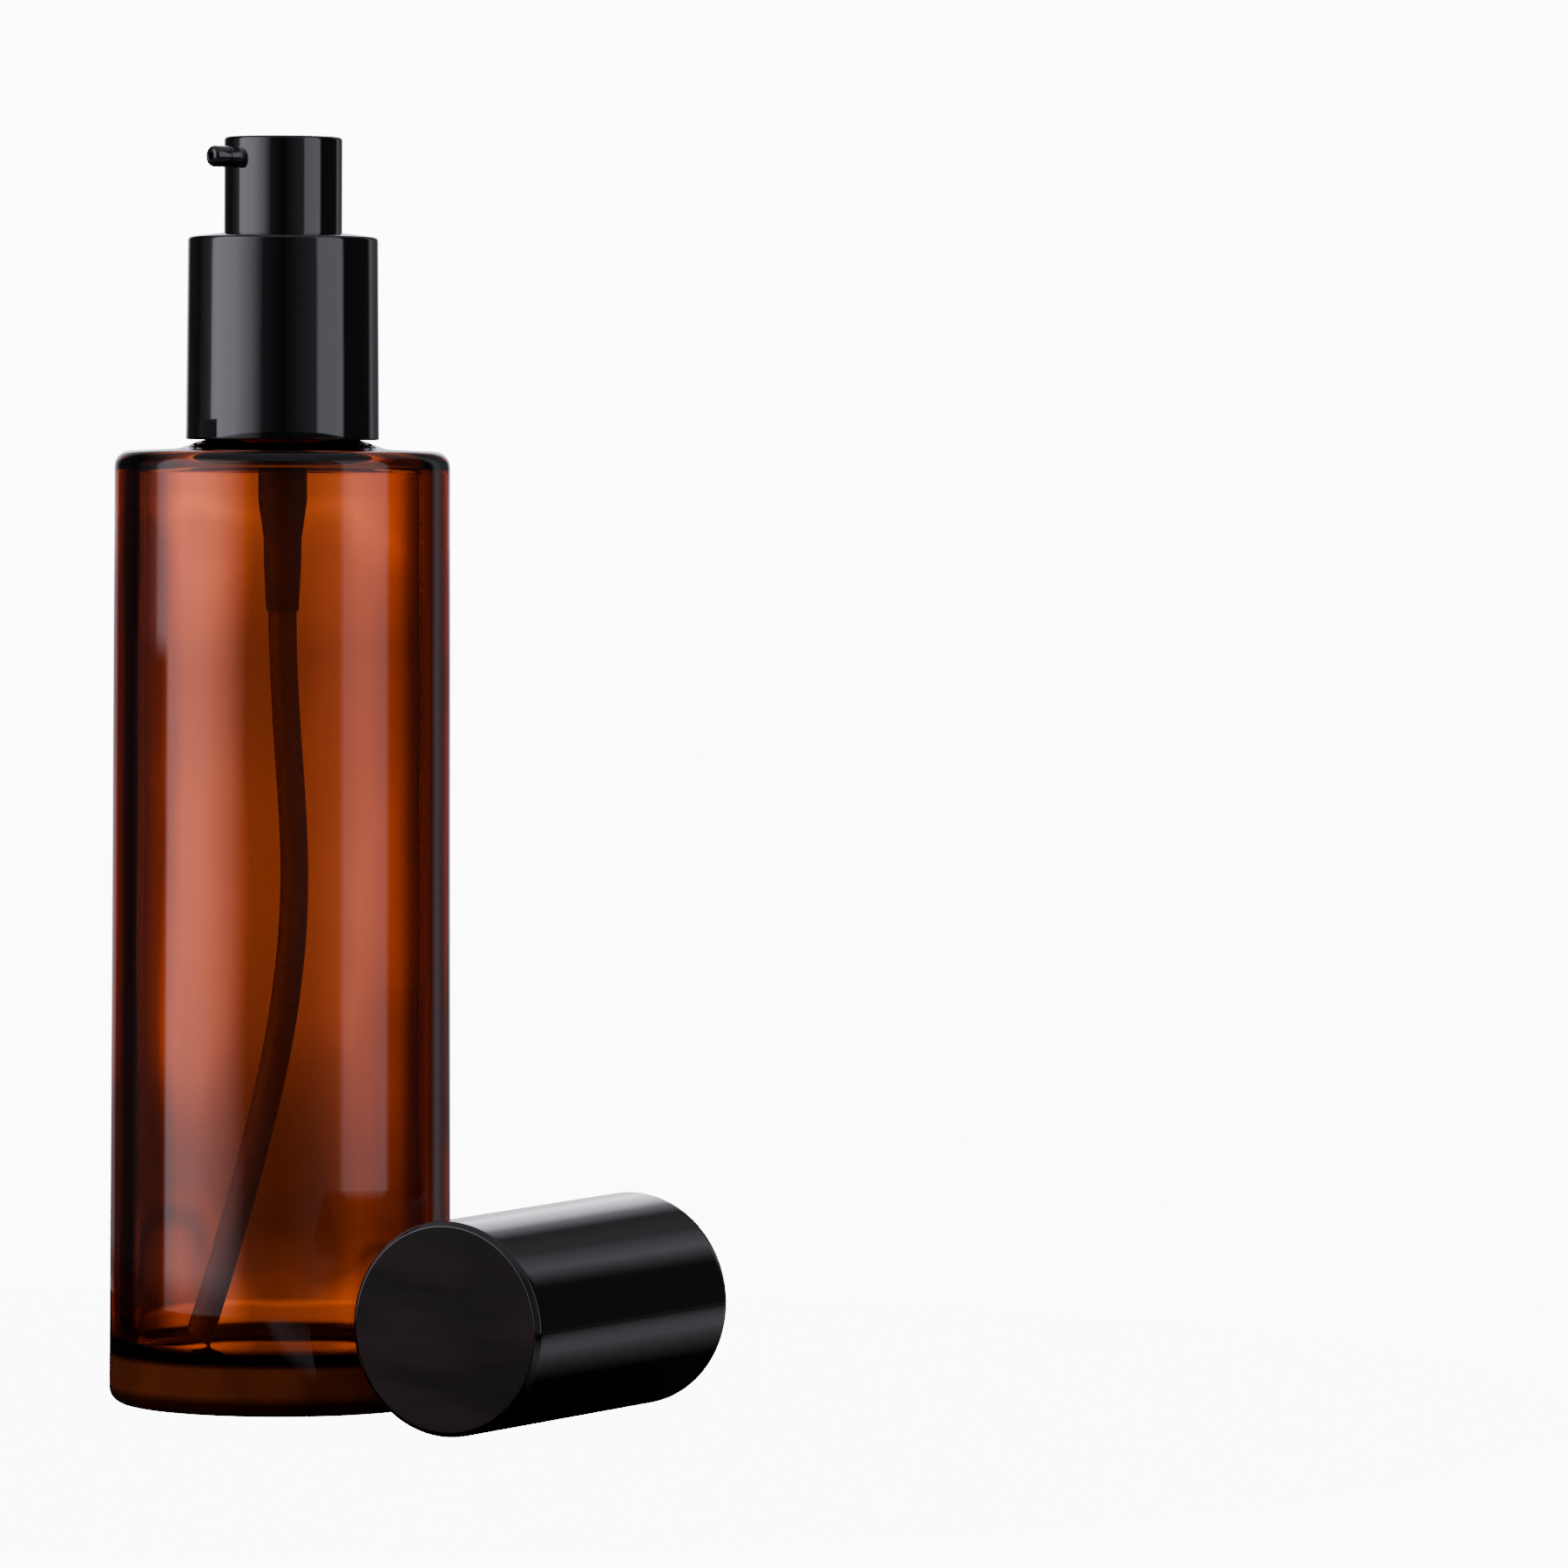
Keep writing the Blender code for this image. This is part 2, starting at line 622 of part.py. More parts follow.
def make_actuator_shell(black):
    inside = ACTUATOR_RADIUS - ACTUATOR_WALL
    ceiling = ACTUATOR_TOP - ACTUATOR_LID
    shell = turned("actuator_shell", [
        (0, ACTUATOR_TOP, 0),
        (ACTUATOR_RADIUS, ACTUATOR_TOP, ACTUATOR_EDGE),
        (ACTUATOR_RADIUS, ACTUATOR_BOTTOM, 0),
        (inside, ACTUATOR_BOTTOM, 0),
        (inside, ceiling, 0),
        (0, ceiling, 0),
    ], BUTTON_SIDES, black, ring=False)
    start = Vector((0, 0, NOZZLE_Z)) + nozzle_direction() * 0.0050
    hole = rod("spout_hole_cutter", start, nozzle_direction(), 0.0040, BOSS_RADIUS + BOSS_FIT, 20)
    combine(shell, hole, "DIFFERENCE")


def make_actuator_core(black):
    top = ACTUATOR_TOP - ACTUATOR_LID - GAP
    socket = STEM_RADIUS + STEM_FIT
    socket_top = STEM_TOP + GAP
    core = turned("actuator_core", [
        (0, top, 0),
        (CORE_RADIUS, top, 0),
        (CORE_RADIUS, CORE_BOTTOM, 0),
        (socket, CORE_BOTTOM, 0),
        (socket, socket_top, 0),
        (0, socket_top, 0),
    ], 20, black, ring=False)
    direction = nozzle_direction()
    axis_point = Vector((0, 0, NOZZLE_Z))
    boss = rod("spout_boss", axis_point + direction * 0.0020, direction, BOSS_REACH - 0.0020, BOSS_RADIUS, 20)
    combine(core, boss, "UNION")
    reach = ACTUATOR_RADIUS - ACTUATOR_WALL - GAP
    root = CORE_RADIUS - 0.0005
    web_top = top - GAP
    for quarter in (1, 2, 3):
        angle = NOZZLE_AZIMUTH + quarter * math.pi / 2
        outward = Vector((math.cos(angle), math.sin(angle), 0))
        bm = bmesh.new()
        bmesh.ops.create_cube(bm, size=1.0)
        size = Matrix.Diagonal((reach - root, WEB_THICKNESS, web_top - WEB_BOTTOM, 1))
        middle = outward * (reach + root) / 2 + Vector((0, 0, (web_top + WEB_BOTTOM) / 2))
        bm.transform(Matrix.Translation(middle) @ Matrix.Rotation(angle, 4, "Z") @ size)
        web = place(f"web_{quarter}", finished(bm, f"web_{quarter}"))
        combine(core, web, "UNION")
    riser_start = Vector((0, 0, socket_top - GAP))
    riser = rod("riser_cutter", riser_start, Vector((0, 0, 1)), 0.0023, RISER_RADIUS, 12)
    channel = rod("channel_cutter", axis_point, direction, 0.0095, CHANNEL_RADIUS, 12)
    socket_start = axis_point + direction * (TIP_PLUG_START - GAP)
    counterbore = rod("counterbore_cutter", socket_start, direction, 0.0030, TIP_PLUG_RADIUS + BOSS_FIT, 16)
    for tool in (riser, channel, counterbore):
        combine(core, tool, "DIFFERENCE")


def make_nozzle_tip(black):
    """Turned about its own Z axis, then laid along the spout."""
    shoulder = BOSS_REACH + 0.00015
    tip = turned("nozzle_tip", [
        (OUTLET_RADIUS, TIP_PLUG_START, 0),
        (TIP_PLUG_RADIUS, TIP_PLUG_START, 0),
        (TIP_PLUG_RADIUS, shoulder, 0),
        (TIP_RADIUS, shoulder, 0),
        (TIP_RADIUS, TIP_REACH, 0.0005),
        (OUTLET_RADIUS, TIP_REACH, 0),
    ], SMALL_SIDES, black)
    tip.location.z = NOZZLE_Z
    tip.rotation_euler = (0, math.pi / 2, NOZZLE_AZIMUTH)


# ---------------------------------------------------------------- overcap
def make_overcap(black):
    """Built upright with its closed end at Z = 0, then laid down on its lowest straight line."""
    sides = 60
    inner_mouth = CAP_MOUTH_RADIUS - CAP_WALL
    inner_end = CAP_CLOSED_RADIUS - CAP_WALL
    rib_start = CAP_LENGTH - CAP_RIB_LENGTH
    inner_rib = inner_end + (inner_mouth - inner_end) * rib_start / CAP_LENGTH
    outline = rounded([
        (0, 0, 0),
        (CAP_CLOSED_RADIUS - CAP_BEVEL, 0, 0),
        (CAP_CLOSED_RADIUS, CAP_BEVEL, 0),
        (CAP_MOUTH_RADIUS, CAP_LENGTH, 0.0003),
        (inner_mouth, CAP_LENGTH, 0.0003),
        (inner_mouth - 0.00001, CAP_LENGTH - CAP_LIP, 0),
        (inner_rib + 0.00001, rib_start, 0),
        (inner_rib, rib_start - 0.0006, 0),
        (inner_end, CAP_END_THICKNESS, 0.0010),
        (0, CAP_END_THICKNESS, 0),
    ], steps=2)
    bm = spin_outline(outline, sides, ring=False)
    bmesh.ops.remove_doubles(bm, verts=bm.verts, dist=WELD)
    for point in bm.verts:
        across = math.hypot(point.co.x, point.co.y)
        place_round = round(math.atan2(point.co.y, point.co.x) * sides / (2 * math.pi))
        in_rib = rib_start - 0.0001 < point.co.z < CAP_LENGTH - CAP_LIP + 0.0001
        inside = inner_end < across < inner_mouth + 0.0001
        if in_rib and inside and place_round % (sides // CAP_RIB_COUNT) in (0, 1):
            shrink = (across - CAP_RIB_HEIGHT) / across
            point.co.x *= shrink
            point.co.y *= shrink
    pivot = bpy.data.objects.new("cap_pivot", None)
    bpy.context.scene.collection.objects.link(pivot)
    closed_x, closed_y = CAP_CLOSED_PLACE
    pivot.location = (closed_x + CAP_LENGTH * math.sin(CAP_YAW),
                      closed_y + CAP_LENGTH * math.cos(CAP_YAW), 0)
    pivot.rotation_euler.z = -CAP_YAW
    tilt = math.atan2(CAP_MOUTH_RADIUS - CAP_CLOSED_RADIUS, CAP_LENGTH)
    cap = place("overcap", finished(bm, "overcap"), black, parent=pivot)
    mouth = Vector((0, -math.sin(tilt), math.cos(tilt))) * CAP_MOUTH_RADIUS
    cap.location = mouth - Vector((0, math.cos(tilt), math.sin(tilt))) * CAP_LENGTH
    cap.rotation_euler.x = tilt - math.pi / 2


def main():
    clear_scene()
    amber = plastic("amber_glass", (0.55, 0.20, 0.05), 0.03, transmission=1.0)
    gloss = plastic("black_gloss_plastic", (0.012, 0.012, 0.014), 0.12)
    black = plastic("black_plastic", (0.02, 0.02, 0.022), 0.4)
    natural = plastic("natural_plastic", (0.75, 0.73, 0.68), 0.4)
    clear = plastic("tube_plastic", (0.80, 0.78, 0.74), 0.25)
    soft = plastic("soft_plastic", (0.85, 0.85, 0.82), 0.5)
    rubber = plastic("gasket_rubber", (0.08, 0.08, 0.08), 0.7)
    steel = plastic("spring_steel", (0.60, 0.60, 0.62), 0.25, metallic=1.0)

    make_glass_bottle(amber)
    make_threaded_closure(black)
    make_collar_shell(gloss)
    make_neck_gasket(rubber)
    make_pump_housing(natural)
    make_stem_guide(natural)
    make_stem_gasket(rubber)
    make_ball_cage(natural)
    make_inlet_ball(steel)
    make_dip_tube(clear)
    coil_spring("main_spring", *MAIN_SPRING, steel)
    make_stem_post(natural)
    make_piston_seal(soft)
    coil_spring("piston_spring", *PISTON_SPRING, steel)
    make_stem(natural)
    make_actuator_shell(gloss)
    make_actuator_core(black)
    make_nozzle_tip(gloss)
    make_overcap(gloss)


main()
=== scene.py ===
"""Looks of the pump oil bottle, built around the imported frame. Metres, +Z up."""

import math

import bmesh
import bpy
from mathutils import Matrix, Vector, noise


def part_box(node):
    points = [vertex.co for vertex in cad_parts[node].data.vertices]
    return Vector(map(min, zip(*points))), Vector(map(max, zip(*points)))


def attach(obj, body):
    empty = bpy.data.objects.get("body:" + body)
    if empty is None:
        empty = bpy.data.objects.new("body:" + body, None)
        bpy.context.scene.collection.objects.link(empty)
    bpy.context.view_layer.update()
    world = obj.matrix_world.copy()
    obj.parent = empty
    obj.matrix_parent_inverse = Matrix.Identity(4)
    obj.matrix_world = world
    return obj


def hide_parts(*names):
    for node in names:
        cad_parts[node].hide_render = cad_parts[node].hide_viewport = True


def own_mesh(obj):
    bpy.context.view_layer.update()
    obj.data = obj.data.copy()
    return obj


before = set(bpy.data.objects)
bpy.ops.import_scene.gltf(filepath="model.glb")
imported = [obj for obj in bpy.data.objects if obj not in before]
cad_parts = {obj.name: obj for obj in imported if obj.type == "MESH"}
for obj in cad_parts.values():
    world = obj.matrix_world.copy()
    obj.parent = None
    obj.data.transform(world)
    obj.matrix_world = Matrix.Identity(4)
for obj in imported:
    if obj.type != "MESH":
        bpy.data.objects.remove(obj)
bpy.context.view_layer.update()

# ---------------------------------------------------------------- sizes read from the frame
_, BOTTLE_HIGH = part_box("glass_bottle")
COLLAR_LOW, COLLAR_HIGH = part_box("collar_shell")
BUTTON_LOW, BUTTON_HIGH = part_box("actuator_shell")
HOUSING_LOW, HOUSING_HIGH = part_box("pump_housing")
MAIN_LOW, MAIN_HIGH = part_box("main_spring")
SLIP_LOW, SLIP_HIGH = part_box("piston_spring")
LIP_Z = BOTTLE_HIGH.z

# Bottle, as designed
FOOT_RADIUS = BOTTLE_HIGH.y
STAND_RADIUS = 0.0172    # inner edge of the ring it stands on
SHOULDER_RADIUS = 0.0207
SHOULDER_Z = 0.1175
WALL = 0.0030
CEILING_Z = 0.1159
FLOOR_Z = 0.0064
NECK_RADIUS = 0.0088
NECK_BORE = 0.0063
BEAD_RADIUS = 0.0095
BEAD_BOTTOM = SHOULDER_Z + 0.0014
BEAD_TOP = SHOULDER_Z + 0.0022
FLARE_RADIUS = 0.0128    # where the shoulder starts to rise into the neck
FLARE_TOP_RADIUS = 0.0104
THREAD_PITCH = 0.003175
THREAD_DEPTH = 0.00105
THREAD_CREST = 0.00035   # half width of the ridge at its top
THREAD_ROOT = 0.00105    # half width of the ridge at its foot
THREAD_START_Z = 0.1251
THREAD_START = math.radians(20)
THREAD_TURNS = 1.5
PUSH_UP = 0.0009         # hollow under the base
FLOOR_CROWN = 0.0005     # the inside of the base rises to its middle
WALL_WAVE = 0.00008      # unevenness of the blown inner wall
GLASS_SIDES = 160

# Collar, as designed
COLLAR_FOOT_RADIUS = COLLAR_HIGH.x
COLLAR_HEAD_RADIUS = COLLAR_FOOT_RADIUS - 0.0002
COLLAR_WALL = 0.0007
COLLAR_EDGE = 0.0005
COLLAR_CROWN = 0.0005
DECK_THICKNESS = 0.0011
WELL_RADIUS = 0.0076
WELL_BOTTOM = 0.1368

# Button and spout, as designed
BUTTON_RADIUS = BUTTON_HIGH.x
BUTTON_TOP = BUTTON_HIGH.z
BUTTON_WALL = 0.0008
BUTTON_LID = 0.0007
NOZZLE_Z = BUTTON_TOP - 0.0026
NOZZLE_AZIMUTH = math.radians(215)
BOSS_REACH = 0.0085
SPOUT_RADIUS = 0.00130
SPOUT_FLARE = 0.00022    # how much wider the spout is where it leaves the button
TIP_REACH = 0.0109
TIP_RADIUS = 0.00132
TIP_PLUG_RADIUS = 0.00075
TIP_PLUG_START = 0.0081
TIP_OUTLET_RADIUS = 0.00040

# Pump, as designed
TAIL_RADIUS = 0.00198
SHOULDER_TAIL_RADIUS = 0.0030
BARREL_RADIUS = 0.0054
BARREL_BORE = 0.0042
FLANGE_Z = 0.1331
FLANGE_THICKNESS = 0.0013
TURRET_RADIUS = 0.0056
GUIDE_SEAT_RADIUS = 0.00475
GUIDE_SEAT_Z = 0.1342
CHAMBER_FLOOR_Z = 0.1176
CAGE_RADIUS = 0.0021
CAGE_Z = 0.1130
BALL_ROOM_RADIUS = 0.00175
BALL_SEAT_Z = 0.1098
INLET_RADIUS = 0.0009
INLET_TOP_Z = 0.1089
INLET_BOTTOM_Z = 0.1079
TUBE_SOCKET_RADIUS = 0.0019
TUBE_RADIUS = 0.00175
TUBE_BORE = 0.00115
TUBE_SLANT = 0.45        # slope of the cut at the tube's lower end

# Overcap, as designed
CAP_LENGTH = 0.0465
CAP_CLOSED_RADIUS = 0.01292
CAP_MOUTH_RADIUS = 0.01313
CAP_WALL = 0.00085
CAP_END_WALL = 0.0012
CAP_BEVEL = 0.00055
CAP_RIBS = 6
CAP_RIB_HEIGHT = 0.0002
CAP_YAW = math.radians(31.4)
CAP_CLOSED_PLACE = (0.0196, -0.0429)


# ---------------------------------------------------------------- mesh helpers
def rounded(corners, steps=8):
    """An outline from (radius, height, rounding) corners, with an arc at each rounding."""
    outline = []
    for index, (across, up, rounding) in enumerate(corners):
        corner = Vector((across, up))
        if not rounding:
            outline.append(corner)
            continue
        before = (Vector(corners[index - 1][:2]) - corner).normalized()
        after = (Vector(corners[(index + 1) % len(corners)][:2]) - corner).normalized()
        half = before.angle(after) / 2
        centre = corner + (before + after).normalized() * rounding / math.sin(half)
        first = corner + before * rounding / math.tan(half) - centre
        last = corner + after * rounding / math.tan(half) - centre
        sweep = first.angle(last)
        for step in range(steps + 1):
            share = step / steps
            weight_first = math.sin((1 - share) * sweep) / math.sin(sweep)
            weight_last = math.sin(share * sweep) / math.sin(sweep)
            outline.append(centre + first * weight_first + last * weight_last)
    return outline


def refined(outline, longest, neck=None):
    """The same outline with its long stretches divided, finer on the outside above the height neck."""
    fine = []
    for start, end in zip(outline, outline[1:]):
        on_neck = (neck is not None and min(start.y, end.y) > neck
                   and min(start.x, end.x) > NECK_BORE + 0.001)
        parts = max(1, math.ceil((end - start).length / (0.0003 if on_neck else longest)))
        fine += [start.lerp(end, part / parts) for part in range(parts)]
    return fine + [outline[-1]]


def lathe(outline, sides, ring=True, shape=None):
    """Points and faces of an outline turned about Z. shape(angle, radius, height) adds to the radius."""
    points = []
    loops = []
    for across, up in outline:
        if across < 1e-7:
            loops.append([len(points)])
            points.append(Vector((0, 0, up)))
            continue
        loop = []
        for side in range(sides):
            angle = 2 * math.pi * side / sides
            radius = across + (shape(angle, across, up) if shape else 0)
            loop.append(len(points))
            points.append(Vector((radius * math.cos(angle), radius * math.sin(angle), up)))
        loops.append(loop)
    pairs = list(zip(loops, loops[1:]))
    if ring:
        pairs.append((loops[-1], loops[0]))
    faces = []
    for lower, upper in pairs:
        for side in range(sides):
            following = (side + 1) % sides
            if len(lower) == 1:
                faces.append((lower[0], upper[following], upper[side]))
            elif len(upper) == 1:
                faces.append((lower[side], lower[following], upper[0]))
            else:
                faces.append((lower[side], lower[following], upper[following], upper[side]))
    return points, faces


def finished(name, points, faces, place=None, sharp=40):
    """A smooth-shaded object with its faces pointing out."""
    bm = bmesh.new()
    made = [bm.verts.new(place @ point if place else point) for point in points]
    for face in faces:
        bm.faces.new([made[corner] for corner in face])
    bmesh.ops.recalc_face_normals(bm, faces=bm.faces)
    mesh = bpy.data.meshes.new(name)
    bm.to_mesh(mesh)
    bm.free()
    mesh.shade_smooth()
    mesh.set_sharp_from_angle(angle=math.radians(sharp))
    piece = bpy.data.objects.new(name, mesh)
    bpy.context.scene.collection.objects.link(piece)
    return piece


def dressed(piece, body, slot, material, *nodes):
    """Ride a piece on its body, give it its finish, and let it stand for its CAD nodes."""
    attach(piece, body)
    if nodes:
        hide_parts(*nodes)
    piece.data.materials.clear()
    piece.data.materials.append(material)
    return piece


def smooth_step(value, low, high):
    """0 below low, 1 above high, and an even curve between."""
    share = min(1.0, max(0.0, (value - low) / (high - low)))
    return share * share * (3 - 2 * share)


# ---------------------------------------------------------------- materials
class Surface:
    """A Principled material and short ways to add its nodes."""

    def __init__(self, name, **values):
        self.material = bpy.data.materials.new(name)
        self.material.use_nodes = True
        self.tree = self.material.node_tree
        self.shader = self.tree.nodes["Principled BSDF"]
        self.output = self.tree.nodes["Material Output"]
        self.place = self.node("ShaderNodeTexCoord").outputs["Object"]
        for socket, value in values.items():
            self.shader.inputs[socket.replace("_", " ")].default_value = value

    def node(self, kind, **settings):
        made = self.tree.nodes.new(kind)
        for name, value in settings.items():
            setattr(made, name, value)
        return made

    def link(self, start, end):
        self.tree.links.new(start, end)

    def stretched(self, scale):
        mapping = self.node("ShaderNodeMapping")
        mapping.inputs["Scale"].default_value = scale
        self.link(self.place, mapping.inputs["Vector"])
        return mapping.outputs["Vector"]

    def noise(self, scale, detail=3.0, roughness=0.5, vector=None):
        made = self.node("ShaderNodeTexNoise")
        made.inputs["Scale"].default_value = scale
        made.inputs["Detail"].default_value = detail
        made.inputs["Roughness"].default_value = roughness
        self.link(vector or self.place, made.inputs["Vector"])
        return made.outputs["Fac"]

    def remap(self, value, low, high, to_low, to_high):
        made = self.node("ShaderNodeMapRange")
        self.link(value, made.inputs["Value"])
        made.inputs["From Min"].default_value = low
        made.inputs["From Max"].default_value = high
        made.inputs["To Min"].default_value = to_low
        made.inputs["To Max"].default_value = to_high
        return made.outputs["Result"]

    def combine(self, operation, first, second):
        made = self.node("ShaderNodeMath", operation=operation)
        self.link(first, made.inputs[0])
        self.link(second, made.inputs[1])
        return made.outputs[0]

    def mix(self, factor, first, second):
        made = self.node("ShaderNodeMix", data_type="RGBA")
        self.link(factor, made.inputs["Factor"])
        made.inputs[6].default_value = (*first, 1)
        made.inputs[7].default_value = (*second, 1)
        return made.outputs[2]

    def ramp(self, value, stops):
        """A colour for each value, through (value, colour) stops."""
        made = self.node("ShaderNodeValToRGB")
        self.link(value, made.inputs["Fac"])
        points = made.color_ramp.elements
        points.remove(points[-1])
        for index, (position, colour) in enumerate(stops):
            point = points.new(position) if index else points[0]
            point.position = position
            point.color = (*colour, 1)
        return made.outputs["Color"]

    def bump(self, height, distance, strength=1.0, under=None):
        made = self.node("ShaderNodeBump")
        made.inputs["Strength"].default_value = strength
        made.inputs["Distance"].default_value = distance
        self.link(height, made.inputs["Height"])
        if under:
            self.link(under, made.inputs["Normal"])
        self.link(made.outputs["Normal"], self.shader.inputs["Normal"])
        return made.outputs["Normal"]


def amber_glass():
    """Clear amber glass, coloured by its thickness, with faint casting waves and a hazy thick base that
    carries a painted glow and painted shade.
    """
    s = Surface("amber_glass", Base_Color=(1, 1, 1, 1), Roughness=0.0, IOR=1.52, Transmission_Weight=1.0)
    depth = s.node("ShaderNodeVolumeAbsorption")
    depth.inputs["Color"].default_value = (0.800, 0.440, 0.020, 1)
    depth.inputs["Density"].default_value = 900.0
    s.link(depth.outputs["Volume"], s.output.inputs["Volume"])
    waves = s.noise(70, 2.0, 0.4, s.stretched((1, 1, 0.35)))
    s.bump(waves, 0.00002)
    split = s.node("ShaderNodeSeparateXYZ")
    s.link(s.place, split.inputs[0])
    height = split.outputs["Z"]

    # Painted light and shade in the lowest 10 mm: a painted dark foot, a painted warm glow that stands in for
    # light from the table below, a painted dark band at the inner floor, clear glass above
    band = 0.010
    rise = s.remap(height, 0.0, band, 0.0, 1.0)
    shaded_foot, glow_from_below, shaded_floor_band, clear = (0.12, 0.022, 0.008), (0.55, 0.11, 0.03), (0.05, 0.012, 0.004), (1, 1, 1)
    light_and_shade_tones = [(0.16, shaded_foot), (0.26, glow_from_below), (0.58, glow_from_below), (0.66, shaded_floor_band), (0.74, shaded_floor_band), (0.84, clear)]
    s.link(s.ramp(rise, light_and_shade_tones), s.shader.inputs["Base Color"])
    # Reflections are turned down across the painted dark band
    full, faint = (0.5,) * 3, (0.02,) * 3
    calm = s.ramp(rise, [(0.58, full), (0.62, faint), (0.72, faint), (0.80, full)])
    s.link(calm, s.shader.inputs["Specular IOR Level"])

    # The thick base lets less through, unevenly, so that its painted glow and painted shade show
    patchy = s.remap(s.noise(150, 2.0, 0.4, s.stretched((1, 1, 0.5))), 0.3, 0.7, 0.55, 1.0)
    haze_and_painted_glow = s.combine("MULTIPLY", s.remap(height, 0.0058, 0.0066, 1.0, 0.0), patchy)
    s.link(s.remap(haze_and_painted_glow, 0.0, 1.0, 1.0, 0.60), s.shader.inputs["Transmission Weight"])

    # Handling marks, and the stippled ring that it stands on
    marks = s.remap(s.noise(260, 4.0, 0.6), 0.45, 0.75, 0.0, 0.02)
    stipple = s.remap(height, 0.0002, 0.0010, 0.60, 0.0)
    s.link(s.combine("MAXIMUM", marks, stipple), s.shader.inputs["Roughness"])
    return s.material


def gloss_black(name, tone, low, high, ripple, waves=140):
    """Polished black moulding: faint ripple, and a sheen that changes a little from place to place."""
    s = Surface(name, IOR=1.5, Roughness=low, Coat_Weight=1.0, Coat_Roughness=low)
    cloud = s.noise(120, 3.0)
    lighter = tuple(channel * 1.5 for channel in tone)
    s.link(s.mix(cloud, tone, lighter), s.shader.inputs["Base Color"])
    s.link(s.remap(s.noise(420, 5.0, 0.65), 0.35, 0.75, low, high), s.shader.inputs["Roughness"])
    broad = s.bump(s.noise(waves, 2.0, 0.4), ripple)
    s.bump(s.noise(5200, 2.0), 0.0000004, 1.0, broad)
    return s.material


def satin_black():
    """The overcap's end face: a fine satin texture with soft, slanting flow marks; the lighter and darker
    streaks in its colour are painted soft reflections.
    """
    s = Surface("cap_end_satin", IOR=1.46, Roughness=0.42, Specular_IOR_Level=0.16)
    flow = s.noise(1.0, 2.0, 0.4, s.stretched((60, 60, 190)))
    painted_reflection_streaks = s.remap(flow, 0.38, 0.62, 0.0, 1.0)
    # The streaks of lighter and darker colour are painted soft reflections; the waviness bump below is the
    # face's own
    s.link(s.mix(painted_reflection_streaks, (0.0120, 0.0065, 0.0065), (0.0300, 0.0155, 0.0155)), s.shader.inputs["Base Color"])
    s.link(s.remap(flow, 0.3, 0.7, 0.36, 0.48), s.shader.inputs["Roughness"])
    broad = s.bump(flow, 0.00012)
    s.bump(s.noise(9000, 3.0), 0.000004, 1.0, broad)
    return s.material


def milky_plastic(name, pale, dark, roughness, through):
    """Uncoloured moulded plastic: milky, half clear, with faint flow clouds."""
    s = Surface(name, IOR=1.5, Roughness=roughness, Transmission_Weight=through)
    s.shader.inputs["Subsurface Weight"].default_value = 0.35
    s.shader.inputs["Subsurface Radius"].default_value = (1.0, 0.8, 0.6)
    s.shader.inputs["Subsurface Scale"].default_value = 0.0015
    cloud = s.noise(260, 4.0, 0.55, s.stretched((1, 1, 0.4)))
    s.link(s.mix(cloud, dark, pale), s.shader.inputs["Base Color"])
    wear = s.remap(s.noise(900, 4.0), 0.3, 0.8, roughness * 0.8, roughness * 1.25)
    s.link(wear, s.shader.inputs["Roughness"])
    s.bump(s.noise(900, 2.0), 0.000002)
    return s.material


def gasket_rubber():
    """Matt black rubber with a fine grain."""
    s = Surface("gasket_rubber", IOR=1.5, Roughness=0.7)
    s.link(s.mix(s.noise(700, 5.0), (0.02, 0.02, 0.02), (0.05, 0.05, 0.05)), s.shader.inputs["Base Color"])
    s.link(s.remap(s.noise(1800, 4.0), 0.3, 0.7, 0.6, 0.8), s.shader.inputs["Roughness"])
    s.bump(s.noise(6000, 4.0), 0.00002)
    return s.material


def drawn_steel():
    """Bright drawn steel with uneven shine."""
    s = Surface("drawn_steel", Metallic=1.0, Roughness=0.22)
    s.link(s.mix(s.noise(1500, 4.0), (0.52, 0.52, 0.55), (0.66, 0.66, 0.68)), s.shader.inputs["Base Color"])
    s.link(s.remap(s.noise(4000, 4.0), 0.3, 0.7, 0.15, 0.32), s.shader.inputs["Roughness"])
    s.bump(s.noise(9000, 2.0), 0.000003)
    return s.material


# ---------------------------------------------------------------- bottle
def thread_height(angle, up):
    """How far the neck's ridge stands out at an angle and a height."""
    turn = ((angle - THREAD_START) % (2 * math.pi)) / (2 * math.pi)
    best = 0.0
    for lap in range(2):
        along = turn + lap
        if along > THREAD_TURNS:
            continue
        off = abs(up - THREAD_START_Z - THREAD_PITCH * along)
        ends = smooth_step(along, 0.0, 0.10) * smooth_step(THREAD_TURNS - along, 0.0, 0.10)
        best = max(best, ends * (1 - smooth_step(off, THREAD_CREST, THREAD_ROOT)))
    return THREAD_DEPTH * best


def bottle_shape(angle, across, up):
    """Thread on the neck, slow waves on the blown inner wall."""
    if up > BEAD_TOP + 0.0004 and NECK_RADIUS - 1e-6 < across < NECK_RADIUS + 1e-5:
        return thread_height(angle, up)
    widest = FOOT_RADIUS - WALL
    inner = 0.6 * widest < across < widest + 1e-5 and FLOOR_Z < up < CEILING_Z
    if inner:
        around = Vector((math.cos(angle) * 1.1, math.sin(angle) * 1.1, up * 38))
        calm = smooth_step(up, FLOOR_Z, FLOOR_Z + 0.006) * smooth_step(CEILING_Z - up, 0, 0.006)
        return -WALL_WAVE * calm * (noise.noise(around) + 0.4 * noise.noise(around * 2.3))
    return 0.0


